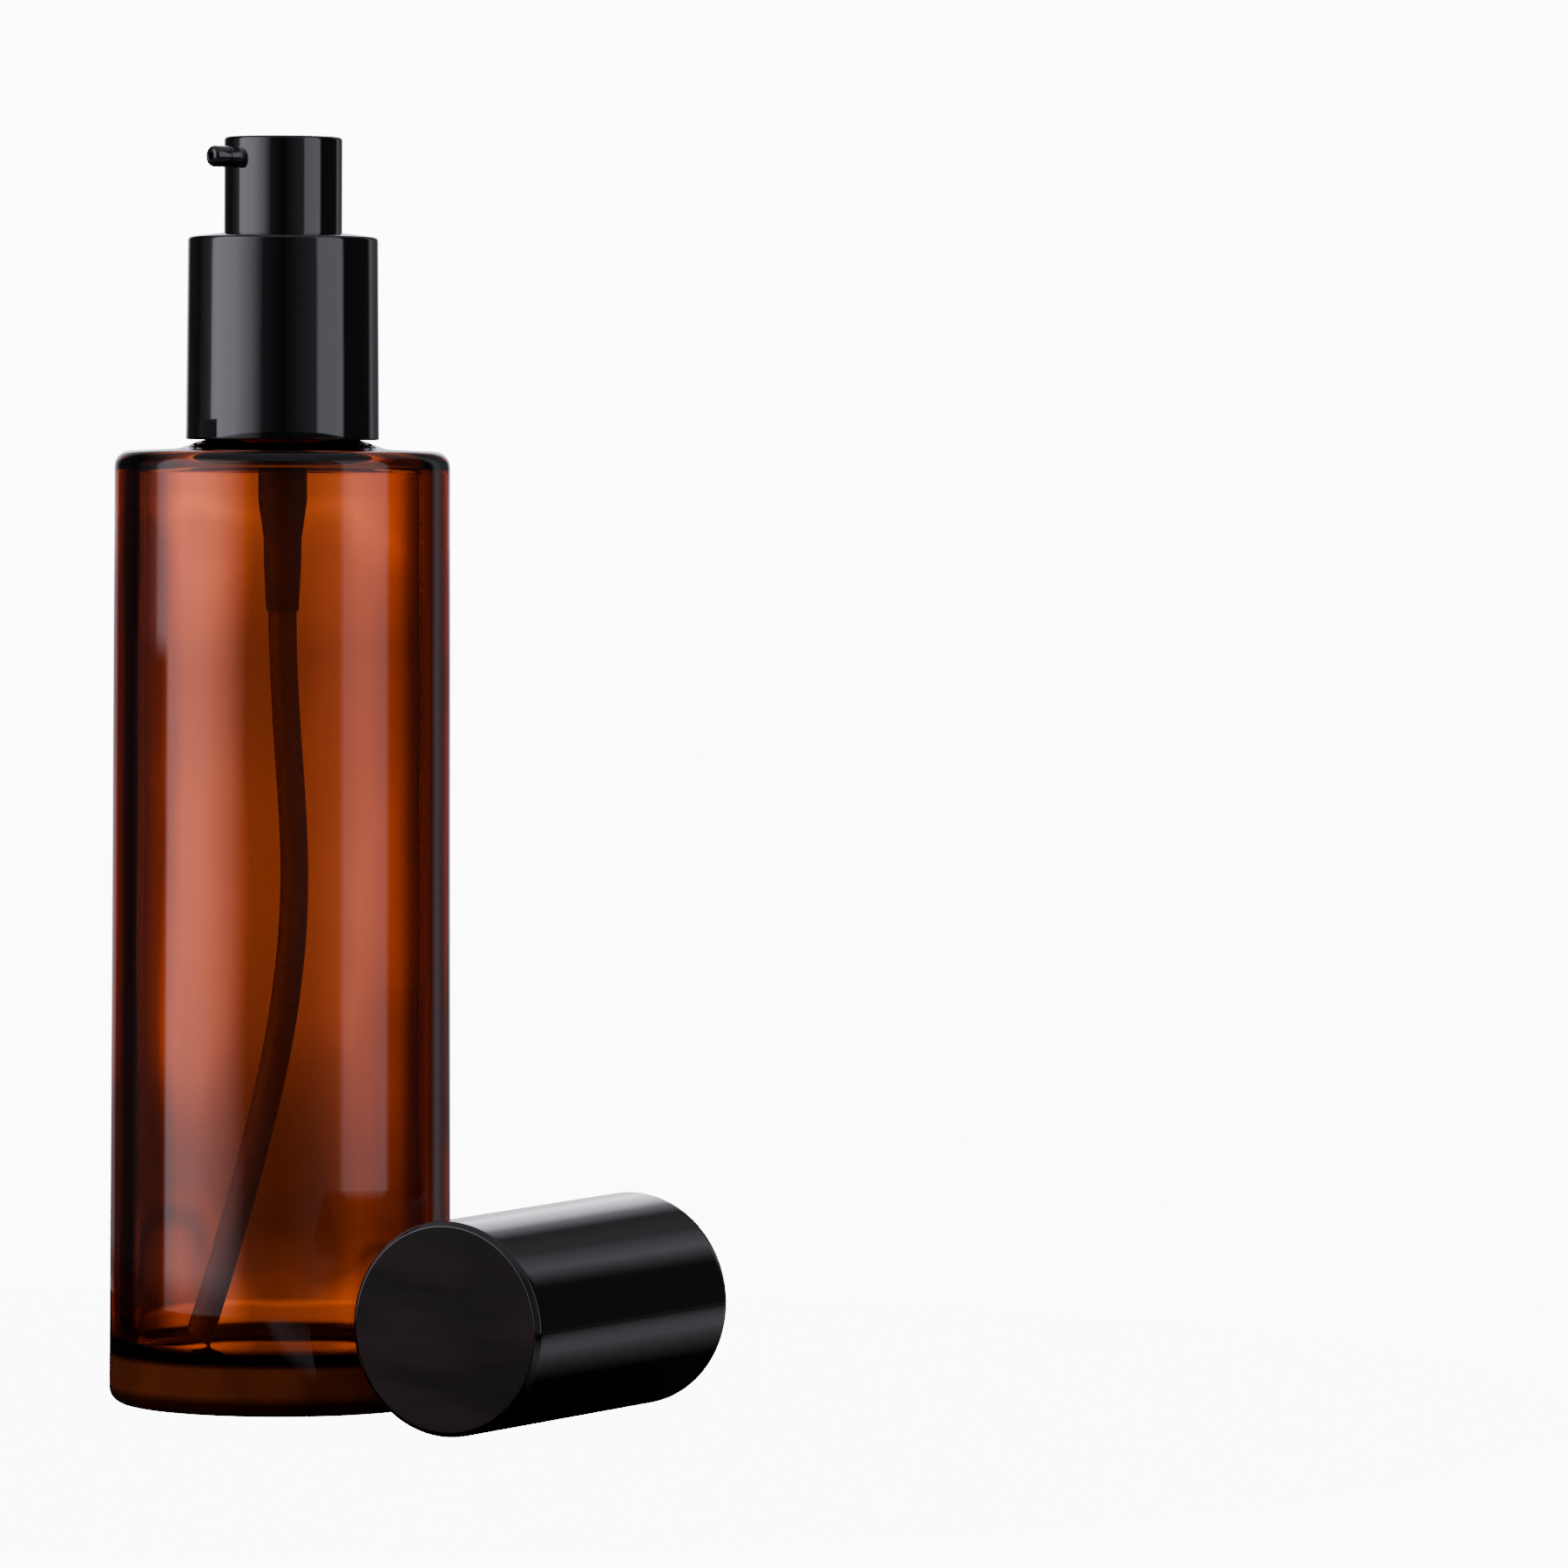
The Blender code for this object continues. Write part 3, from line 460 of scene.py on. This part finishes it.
def make_glass(material):
    outline = refined(rounded([
        (0, PUSH_UP, 0),
        (0.0150, PUSH_UP * 0.25, 0.004),
        (STAND_RADIUS, 0, 0.0008),
        (FOOT_RADIUS, 0, 0.0019),
        (SHOULDER_RADIUS, SHOULDER_Z, 0.0020),
        (FLARE_RADIUS, SHOULDER_Z + 0.0003, 0.004),
        (FLARE_TOP_RADIUS, SHOULDER_Z + 0.0012, 0.0004),
        (BEAD_RADIUS, BEAD_BOTTOM, 0.0001),
        (BEAD_RADIUS, BEAD_TOP, 0.0003),
        (NECK_RADIUS, BEAD_TOP + 0.0004, 0),
        (NECK_RADIUS, LIP_Z, 0.0006),
        (NECK_BORE, LIP_Z, 0.0005),
        (NECK_BORE, CEILING_Z, 0.0005),
        (SHOULDER_RADIUS - WALL, CEILING_Z, 0.0012),
        (FOOT_RADIUS - WALL, FLOOR_Z, 0.0018),
        (0, FLOOR_Z + FLOOR_CROWN, 0),
    ], 9), 0.0030, neck=BEAD_TOP + 0.0003)
    points, faces = lathe(outline, GLASS_SIDES, ring=False, shape=bottle_shape)
    return dressed(finished("bottle_glass", points, faces, sharp=60), "bottle", "amber_glass", material,
                   "glass_bottle")


# ---------------------------------------------------------------- collar and button
def make_collar(material):
    inner_foot = COLLAR_FOOT_RADIUS - COLLAR_WALL
    inner_head = COLLAR_HEAD_RADIUS - COLLAR_WALL
    deck_bottom = COLLAR_HIGH.z - DECK_THICKNESS
    points, faces = lathe(refined(rounded([
        (COLLAR_FOOT_RADIUS, COLLAR_LOW.z, 0.00025),
        (COLLAR_HEAD_RADIUS, COLLAR_HIGH.z - COLLAR_CROWN, COLLAR_EDGE),
        (WELL_RADIUS, COLLAR_HIGH.z, 0.0002),
        (WELL_RADIUS, WELL_BOTTOM, 0.0001),
        (WELL_RADIUS + COLLAR_WALL, WELL_BOTTOM, 0.0001),
        (WELL_RADIUS + COLLAR_WALL, deck_bottom, 0.0003),
        (inner_head, deck_bottom, 0.0003),
        (inner_foot, COLLAR_LOW.z, 0.0001),
    ], 6), 0.004), GLASS_SIDES)
    return dressed(finished("collar", points, faces), "closure", "gloss_black", material, "collar_shell")


def spout_frame(along):
    """Places a piece turned about its own Z axis on the spout's line."""
    turn = Matrix.Rotation(NOZZLE_AZIMUTH, 4, "Z") @ Matrix.Rotation(math.pi / 2, 4, "Y")
    return Matrix.Translation((0, 0, NOZZLE_Z)) @ turn @ Matrix.Translation((0, 0, along))


def make_button(material):
    inside = BUTTON_RADIUS - BUTTON_WALL
    lid_bottom = BUTTON_TOP - BUTTON_LID
    points, faces = lathe(refined(rounded([
        (0, BUTTON_TOP, 0),
        (BUTTON_RADIUS, BUTTON_TOP, 0.00045),
        (BUTTON_RADIUS, BUTTON_LOW.z, 0.0002),
        (inside, BUTTON_LOW.z, 0.0002),
        (inside, lid_bottom, 0.0005),
        (0, lid_bottom, 0),
    ], 6), 0.003), 128, ring=False)
    return dressed(finished("button", points, faces), "button", "gloss_black", material, "actuator_shell")


def make_spout(material):
    """The spout swells into the button in a smooth trumpet; its root follows the button's wall."""
    root = BUTTON_RADIUS - 0.0004
    sides = 48
    steps = 12
    lengths = [root + (BOSS_REACH - root) * step / steps for step in range(steps + 1)]
    points = []
    for step, length in enumerate(lengths):
        rest = 1 - step / steps
        radius = SPOUT_RADIUS + SPOUT_FLARE * rest ** 3
        for side in range(sides):
            angle = 2 * math.pi * side / sides
            sideways = radius * math.cos(angle)
            saddle = BUTTON_RADIUS - math.sqrt(BUTTON_RADIUS ** 2 - sideways ** 2)
            points.append(Vector((radius * math.sin(angle), sideways, length - saddle * rest)))
    faces = []
    for step in range(steps):
        for side in range(sides):
            following = (side + 1) % sides
            a, b = step * sides + side, step * sides + following
            faces.append((a, b, b + sides, a + sides))
    faces.append(tuple(range(sides)))
    faces.append(tuple(range(steps * sides, (steps + 1) * sides)))
    return dressed(finished("spout", points, faces, spout_frame(0)), "button", "black_plastic", material)


def make_nozzle(material):
    shoulder = BOSS_REACH + 0.00006
    points, faces = lathe(rounded([
        (TIP_OUTLET_RADIUS, TIP_PLUG_START, 0),
        (TIP_PLUG_RADIUS, TIP_PLUG_START, 0),
        (TIP_PLUG_RADIUS, shoulder, 0),
        (TIP_RADIUS, shoulder, 0.00005),
        (TIP_RADIUS, TIP_REACH, 0.00060),
        (TIP_OUTLET_RADIUS + 0.00005, TIP_REACH, 0.00015),
    ], 6), 48)
    return dressed(finished("nozzle", points, faces, spout_frame(0)), "button", "gloss_black", material,
                   "nozzle_tip")


# ---------------------------------------------------------------- pump seen through the glass
def make_housing(material):
    points, faces = lathe(refined(rounded([
        (TAIL_RADIUS, HOUSING_LOW.z, 0.00003),
        (0.00228, 0.1035, 0.004),
        (0.00232, 0.1068, 0.003),
        (SHOULDER_TAIL_RADIUS, 0.1115, 0.004),
        (SHOULDER_TAIL_RADIUS, 0.1162, 0.0003),
        (BARREL_RADIUS, 0.1172, 0.0003),
        (BARREL_RADIUS, FLANGE_Z, 0),
        (HOUSING_HIGH.x, FLANGE_Z, 0.0002),
        (HOUSING_HIGH.x, FLANGE_Z + FLANGE_THICKNESS, 0.0002),
        (TURRET_RADIUS, FLANGE_Z + FLANGE_THICKNESS, 0),
        (TURRET_RADIUS, HOUSING_HIGH.z, 0.0002),
        (GUIDE_SEAT_RADIUS, HOUSING_HIGH.z, 0),
        (GUIDE_SEAT_RADIUS, GUIDE_SEAT_Z, 0),
        (BARREL_BORE, GUIDE_SEAT_Z, 0),
        (BARREL_BORE, CHAMBER_FLOOR_Z, 0.0003),
        (CAGE_RADIUS, CHAMBER_FLOOR_Z, 0.0002),
        (CAGE_RADIUS, CAGE_Z, 0),
        (BALL_ROOM_RADIUS, CAGE_Z, 0),
        (BALL_ROOM_RADIUS, BALL_SEAT_Z, 0),
        (INLET_RADIUS, INLET_TOP_Z, 0),
        (INLET_RADIUS, INLET_BOTTOM_Z, 0),
        (TUBE_SOCKET_RADIUS, INLET_BOTTOM_Z, 0),
        (TUBE_SOCKET_RADIUS, HOUSING_LOW.z, 0.0002),
    ], 5), 0.003), 72)
    piece = finished("pump_barrel", points, faces)
    return dressed(piece, "engine", "natural_plastic", material, "pump_housing")


def tube_route(share):
    """A point and a direction of the dip tube's centre line, in the XZ plane."""
    top = Vector((0, 0.1074))
    socket = Vector((0, 0.0978))
    bow = Vector((0.0016, 0.0655))
    end = Vector((-0.0102, 0.0078))
    down = Vector((0, -1))
    last_heading = Vector((-0.32, -1))
    straight = 0.12
    first = 0.52
    if share < straight:
        return top.lerp(socket, share / straight), down
    if share < first:
        along = (share - straight) / (first - straight)
        handle = (socket.y - bow.y) / 3
        knots = [socket, socket + down * handle, bow - down * handle, bow]
    else:
        along = (share - first) / (1 - first)
        handle = (bow.y - end.y) / 3
        knots = [bow, bow + down * handle, end - last_heading * handle, end]
    rest = 1 - along
    point = (knots[0] * rest ** 3 + knots[1] * 3 * rest ** 2 * along
             + knots[2] * 3 * rest * along ** 2 + knots[3] * along ** 3)
    heading = ((knots[1] - knots[0]) * rest ** 2 + (knots[2] - knots[1]) * 2 * rest * along
               + (knots[3] - knots[2]) * along ** 2)
    return point, heading.normalized()


def make_dip_tube(material):
    stations = 90
    sides = 32
    points = []
    for radius in (TUBE_RADIUS, TUBE_BORE):
        for station in range(stations):
            point, heading = tube_route(station / (stations - 1))
            side = Vector((-heading.y, heading.x))
            slant = TUBE_SLANT if station == stations - 1 else 0.0
            for corner in range(sides):
                angle = 2 * math.pi * corner / sides
                across = radius * math.cos(angle)
                spot = point + side * across + heading * across * slant
                points.append(Vector((spot.x, radius * math.sin(angle), spot.y)))
    faces = []
    inner = stations * sides
    for start in (0, inner):
        for station in range(stations - 1):
            for corner in range(sides):
                a = start + station * sides + corner
                b = start + station * sides + (corner + 1) % sides
                faces.append((a, b, b + sides, a + sides))
    for start in (0, (stations - 1) * sides):
        for corner in range(sides):
            a = start + corner
            b = start + (corner + 1) % sides
            faces.append((a, b, b + inner, a + inner))
    return dressed(finished("suction_tube", points, faces), "engine", "tube_plastic", material, "dip_tube")


def make_spring(name, radius, wire, low, high, turns, body, node, material):
    """A round-wire spring with closed ends."""
    around = 12
    steps = round(turns * 40)
    points = []
    for step in range(steps + 1):
        share = step / steps
        angle = 2 * math.pi * turns * share
        centre = Vector((radius * math.cos(angle), radius * math.sin(angle),
                         low + wire + (high - low - 2 * wire) * smooth_step(share, -0.06, 1.06)))
        outward = Vector((math.cos(angle), math.sin(angle), 0))
        for corner in range(around):
            turn = 2 * math.pi * corner / around
            points.append(centre + outward * wire * math.cos(turn) + Vector((0, 0, wire * math.sin(turn))))
    faces = []
    for step in range(steps):
        for corner in range(around):
            a = step * around + corner
            b = step * around + (corner + 1) % around
            faces.append((a, b, b + around, a + around))
    faces.append(tuple(range(around)))
    faces.append(tuple(range(steps * around, (steps + 1) * around)))
    piece = dressed(finished(name, points, faces), body, "spring_steel", material, node)
    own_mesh(piece)
    return piece


# ---------------------------------------------------------------- overcap
def cap_place():
    """From the upright cap, closed end at Z = 0, to the cap lying on its lowest straight line."""
    tilt = math.atan2(CAP_MOUTH_RADIUS - CAP_CLOSED_RADIUS, CAP_LENGTH)
    closed_x, closed_y = CAP_CLOSED_PLACE
    pivot = Matrix.Translation((closed_x + CAP_LENGTH * math.sin(CAP_YAW),
                                closed_y + CAP_LENGTH * math.cos(CAP_YAW), 0))
    mouth = Vector((0, -math.sin(tilt), math.cos(tilt))) * CAP_MOUTH_RADIUS
    closed = mouth - Vector((0, math.cos(tilt), math.sin(tilt))) * CAP_LENGTH
    lying = Matrix.Translation(closed) @ Matrix.Rotation(tilt - math.pi / 2, 4, "X")
    return pivot @ Matrix.Rotation(-CAP_YAW, 4, "Z") @ lying


def cap_shape(angle, across, up):
    """Low grip ribs inside the mouth."""
    inner = CAP_CLOSED_RADIUS - CAP_WALL - 1e-5 < across < CAP_MOUTH_RADIUS - CAP_WALL + 1e-5
    depth = CAP_LENGTH - up
    if not inner or depth > 0.0130:
        return 0.0
    spacing = 2 * math.pi / CAP_RIBS
    from_rib = abs((angle / spacing + 0.5) % 1 - 0.5) * spacing * across
    ends = smooth_step(-depth, -0.0126, -0.0120) * smooth_step(depth, 0.0012, 0.0018)
    return -CAP_RIB_HEIGHT * ends * (1 - smooth_step(from_rib, 0.0003, 0.0006))


def make_cap(gloss, satin):
    outline = refined(rounded([
        (0, 0, 0),
        (CAP_CLOSED_RADIUS - CAP_BEVEL, 0, 0.0002),
        (CAP_CLOSED_RADIUS, CAP_BEVEL, 0.0002),
        (CAP_MOUTH_RADIUS, CAP_LENGTH, 0.0006),
        (CAP_MOUTH_RADIUS - CAP_WALL, CAP_LENGTH, 0.0002),
        (CAP_CLOSED_RADIUS - CAP_WALL, CAP_END_WALL, 0.0010),
        (0, CAP_END_WALL, 0),
    ], 6), 0.0008)
    points, faces = lathe(outline, 180, ring=False, shape=cap_shape)
    piece = finished("cap", points, faces, cap_place())
    dressed(piece, "cap", "gloss_black", gloss, "overcap")
    piece.data.materials.append(satin)
    upright = cap_place().inverted()
    satin_radius = CAP_CLOSED_RADIUS - CAP_BEVEL - 0.0001
    for face in piece.data.polygons:
        spot = upright @ face.center
        if spot.z < 0.00002 and math.hypot(spot.x, spot.y) < satin_radius:
            face.material_index = 1
    return piece


# ---------------------------------------------------------------- stage
def make_camera():
    """Level with the shoulder, seen from far off through a long lens."""
    far = 1.1115
    height = 0.1150
    to_right, down, roll = 3.20, 1.975, 0.27      # degrees
    data = bpy.data.cameras.new("camera")
    data.lens = 206.4
    data.sensor_width = 36.0
    camera = bpy.data.objects.new("camera", data)
    bpy.context.scene.collection.objects.link(camera)
    turn = Matrix.Rotation(math.radians(-to_right), 4, "Z") @ Matrix.Rotation(math.radians(90 - down), 4, "X")
    turn = turn @ Matrix.Rotation(math.radians(roll), 4, "Z")
    camera.matrix_world = Matrix.Translation((0, -far, height)) @ turn
    bpy.context.scene.camera = camera


def make_floor():
    """A white sheet that the camera sees evenly lit, and a small one with a painted contact shadow that
    glossy pieces reflect.
    """
    corners = 96
    rim = [2 * math.pi * corner / corners for corner in range(corners)]
    for name, radius, tone in (("floor", 8.0, 0.9), ("painted_shadow_floor", 0.16, 0.50)):
        points = [Vector((radius * math.cos(angle), radius * math.sin(angle), -0.00001)) for angle in rim]
        sheet = finished(name, points, [tuple(range(corners))])
        s = Surface("pale_" + name, Base_Color=(tone, tone, tone, 1), Roughness=0.9)
        s.shader.inputs["Specular IOR Level"].default_value = 0.0
        if name == "floor":
            s.shader.inputs["Emission Color"].default_value = (1, 1, 1, 1)
            s.shader.inputs["Emission Strength"].default_value = BACKDROP - 1.0
        else:
            # Painted contact shadow: dark close to the cap and bottle, a pale band further off, dark again
            # far away
            away = s.node("ShaderNodeVectorMath", operation="DOT_PRODUCT")
            s.link(s.place, away.inputs[0])
            away.inputs[1].default_value = (math.cos(CAP_YAW), -math.sin(CAP_YAW), 0)
            shade = s.remap(away.outputs["Value"], 0.0, 0.2, 0.0, 1.0)
            light_and_shade_tones = [(0.270, 0.02), (0.345, 0.90), (0.385, 0.90), (0.600, 0.04)]
            painted_shadow_greys = [(place, (grey,) * 3) for place, grey in light_and_shade_tones]
            s.link(s.ramp(shade, painted_shadow_greys), s.shader.inputs["Base Color"])
        sheet.data.materials.append(s.material)
        sheet.visible_camera = name == "floor"
        sheet.visible_glossy = name != "floor"
        sheet.visible_transmission = False
        sheet.visible_diffuse = False


BACKDROP = 12.0          # brightness of the background that the camera sees
BRIGHTEST = 3.0          # full scale of the two curves below
OVERHEAD = 30.0          # strength of the soft box straight above, which only polished surfaces show

# Brightness of the studio by bearing: degrees from the camera's side, positive to its right
BEARINGS = [
    (-180, 0.68), (-178.4, 0.68), (-177.3, 1.30), (-176, 2.05), (-173, 2.50), (-170.5, 1.50),
    (-168, 0.60), (-163, 0.45), (-150, 0.03), (-120, 0.03), (-104, 0.16), (-97, 0.30),
    (-93, 1.70), (-85, 2.00), (-60, 1.95), (-37, 0.95), (-24, 0.12), (0, 0.03),
    (40, 0.25), (43, 1.15), (75, 1.20), (79, 0.05), (124, 0.03), (131, 0.36), (142, 0.13),
    (157, 0.07), (165, 0.40), (169, 1.15), (173, 1.45), (176.2, 1.75), (177.4, 0.90), (180, 0.70)]

# Share of the back light by height of the direction, the sine of its elevation
LOWEST_BACK, HIGHEST_BACK = -0.20, 0.10
BACK_HEIGHTS = [
    (LOWEST_BACK, 0.20), (-0.100, 1.20), (-0.095, 1.85), (-0.0915, 1.35), (-0.0875, 0.50),
    (-0.082, 0.27), (-0.0755, 0.37), (-0.068, 0.57), (-0.059, 0.88), (-0.049, 1.10),
    (-0.039, 1.10), (-0.029, 0.88), (-0.019, 0.78), (-0.0146, 0.95), (-0.010, 1.15),
    (-0.0055, 1.85), (-0.0018, 1.65), (0.012, 1.50), (HIGHEST_BACK, 1.50)]


def make_light():
    """A studio with a tall soft box on each side, a bright wall behind the object and a soft box above it."""
    world = bpy.data.worlds.new("studio")
    world.use_nodes = True
    bpy.context.scene.world = world
    tree = world.node_tree
    tree.nodes.clear()

    def node(kind, **settings):
        made = tree.nodes.new(kind)
        for name, value in settings.items():
            setattr(made, name, value)
        return made

    def feed(socket, value):
        if isinstance(value, bpy.types.NodeSocket):
            tree.links.new(value, socket)
        else:
            socket.default_value = value

    def calculate(operation, first, second=0.0):
        made = node("ShaderNodeMath", operation=operation)
        feed(made.inputs[0], first)
        feed(made.inputs[1], second)
        return made.outputs[0]

    def eased(value, low, high):
        """0 before low, 1 past high; low may be the larger."""
        made = node("ShaderNodeMapRange", interpolation_type="SMOOTHSTEP")
        feed(made.inputs["Value"], value)
        made.inputs["From Min"].default_value = low
        made.inputs["From Max"].default_value = high
        return made.outputs["Result"]

    def mixed(factor, first, second):
        made = node("ShaderNodeMix", data_type="FLOAT")
        feed(made.inputs["Factor"], factor)
        feed(made.inputs[2], first)
        feed(made.inputs[3], second)
        return made.outputs[0]

    def profile(value, levels, low, high, brightest):
        """A level for each value, in straight stretches between (place, level) pairs."""
        span = node("ShaderNodeMapRange")
        feed(span.inputs["Value"], value)
        span.inputs["From Min"].default_value = low
        span.inputs["From Max"].default_value = high
        ramp = node("ShaderNodeValToRGB")
        feed(ramp.inputs["Fac"], span.outputs["Result"])
        points = ramp.color_ramp.elements
        points.remove(points[-1])
        for index, (place, level) in enumerate(levels):
            share = (place - low) / (high - low)
            point = points.new(share) if index else points[0]
            point.position = share
            point.color = (*(level / brightest,) * 3, 1)
        return calculate("MULTIPLY", ramp.outputs["Color"], brightest)

    direction = node("ShaderNodeSeparateXYZ")
    feed(direction.inputs[0], node("ShaderNodeTexCoord").outputs["Generated"])
    x, y, z = direction.outputs
    bearing = calculate("ARCTAN2", x, calculate("MULTIPLY", y, -1.0))
    around = profile(bearing, [(math.radians(place), level) for place, level in BEARINGS],
                     -math.pi, math.pi, BRIGHTEST)
    heights = profile(z, BACK_HEIGHTS, LOWEST_BACK, HIGHEST_BACK, BRIGHTEST)
    level = calculate("MULTIPLY", around, mixed(eased(y, 0.89, 0.97), 1.0, heights))

    # Zones with a level of their own: low on the right, high up, far down, low on the left, low behind
    low_right = calculate("MULTIPLY", eased(x, 0.30, 0.40), eased(z, -0.080, -0.083))
    level = mixed(low_right, level, 0.12)
    level = mixed(eased(z, 0.50, 0.80), level, 0.35)
    level = mixed(eased(z, -0.12, -0.30), level, 0.3)
    past_left = eased(bearing, math.radians(-83), math.radians(-87))
    short_of_back = eased(bearing, math.radians(-125), math.radians(-110))
    low_left = calculate("MULTIPLY", past_left, eased(z, -0.013, -0.017))
    low_left = calculate("MULTIPLY", low_left, short_of_back)
    level = mixed(low_left, level, 0.10)
    flank = calculate("MULTIPLY", eased(calculate("ABSOLUTE", x), 0.05, 0.09), eased(z, -0.083, -0.087))
    level = mixed(flank, level, calculate("MULTIPLY", level, 0.4))

    # The box above leans a little back and to the left; it shows in first reflections only
    rays = node("ShaderNodeLightPath")
    leaning = calculate("ADD", calculate("MULTIPLY", z, 0.97), calculate("MULTIPLY", y, 0.22))
    leaning = calculate("ADD", leaning, calculate("MULTIPLY", x, -0.10))
    above = calculate("MULTIPLY", eased(leaning, 0.87, 0.94), rays.outputs["Is Glossy Ray"])
    above = calculate("MULTIPLY", above, calculate("LESS_THAN", rays.outputs["Ray Depth"], 1.5))
    level = mixed(above, level, OVERHEAD)

    studio = node("ShaderNodeBackground")
    studio.inputs["Color"].default_value = (0.97, 0.955, 1.07, 1)
    feed(studio.inputs["Strength"], level)
    plain = node("ShaderNodeBackground")
    plain.inputs["Color"].default_value = (1, 1, 1, 1)
    plain.inputs["Strength"].default_value = BACKDROP
    choose = node("ShaderNodeMixShader")
    feed(choose.inputs["Fac"], rays.outputs["Is Camera Ray"])
    tree.links.new(studio.outputs[0], choose.inputs[1])
    tree.links.new(plain.outputs[0], choose.inputs[2])
    tree.links.new(choose.outputs[0], node("ShaderNodeOutputWorld").inputs["Surface"])


def main():
    glass = amber_glass()
    pump_black = gloss_black("pump_black", (0.0018, 0.0017, 0.0025), 0.02, 0.07, 0.00002)
    cap_black = gloss_black("cap_black", (0.0018, 0.0017, 0.0017), 0.05, 0.10, 0.00003, 90)
    core_black = gloss_black("core_black", (0.004, 0.004, 0.004), 0.18, 0.35, 0.00002)
    natural = milky_plastic("natural_plastic", (0.62, 0.58, 0.50), (0.50, 0.46, 0.38), 0.35, 0.25)
    clear = milky_plastic("tube_plastic", (0.80, 0.77, 0.70), (0.72, 0.68, 0.60), 0.22, 0.35)
    soft = milky_plastic("soft_plastic", (0.80, 0.79, 0.75), (0.70, 0.69, 0.65), 0.5, 0.1)
    rubber = gasket_rubber()
    steel = drawn_steel()

    make_camera()
    make_glass(glass)
    make_collar(pump_black)
    make_button(pump_black)
    make_spout(pump_black)
    make_nozzle(pump_black)
    make_housing(natural)
    make_dip_tube(clear)
    make_cap(cap_black, satin_black())
    make_spring("return_spring", 0.0027, 0.00022, MAIN_LOW.z, MAIN_HIGH.z, 5.5, "engine", "main_spring",
                steel)
    make_spring("valve_spring", 0.00275, 0.00014, SLIP_LOW.z, SLIP_HIGH.z, 3.5, "pump_stem", "piston_spring",
                steel)
    for node, material in (("threaded_closure", core_black), ("actuator_core", core_black),
                           ("neck_gasket", rubber), ("stem_gasket", rubber), ("stem_guide", natural),
                           ("ball_cage", natural), ("inlet_ball", steel), ("stem_post", natural),
                           ("piston_seal", soft), ("stem", natural)):
        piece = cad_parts[node]
        for slot in piece.material_slots:
            slot.material = material
    make_floor()
    make_light()


main()
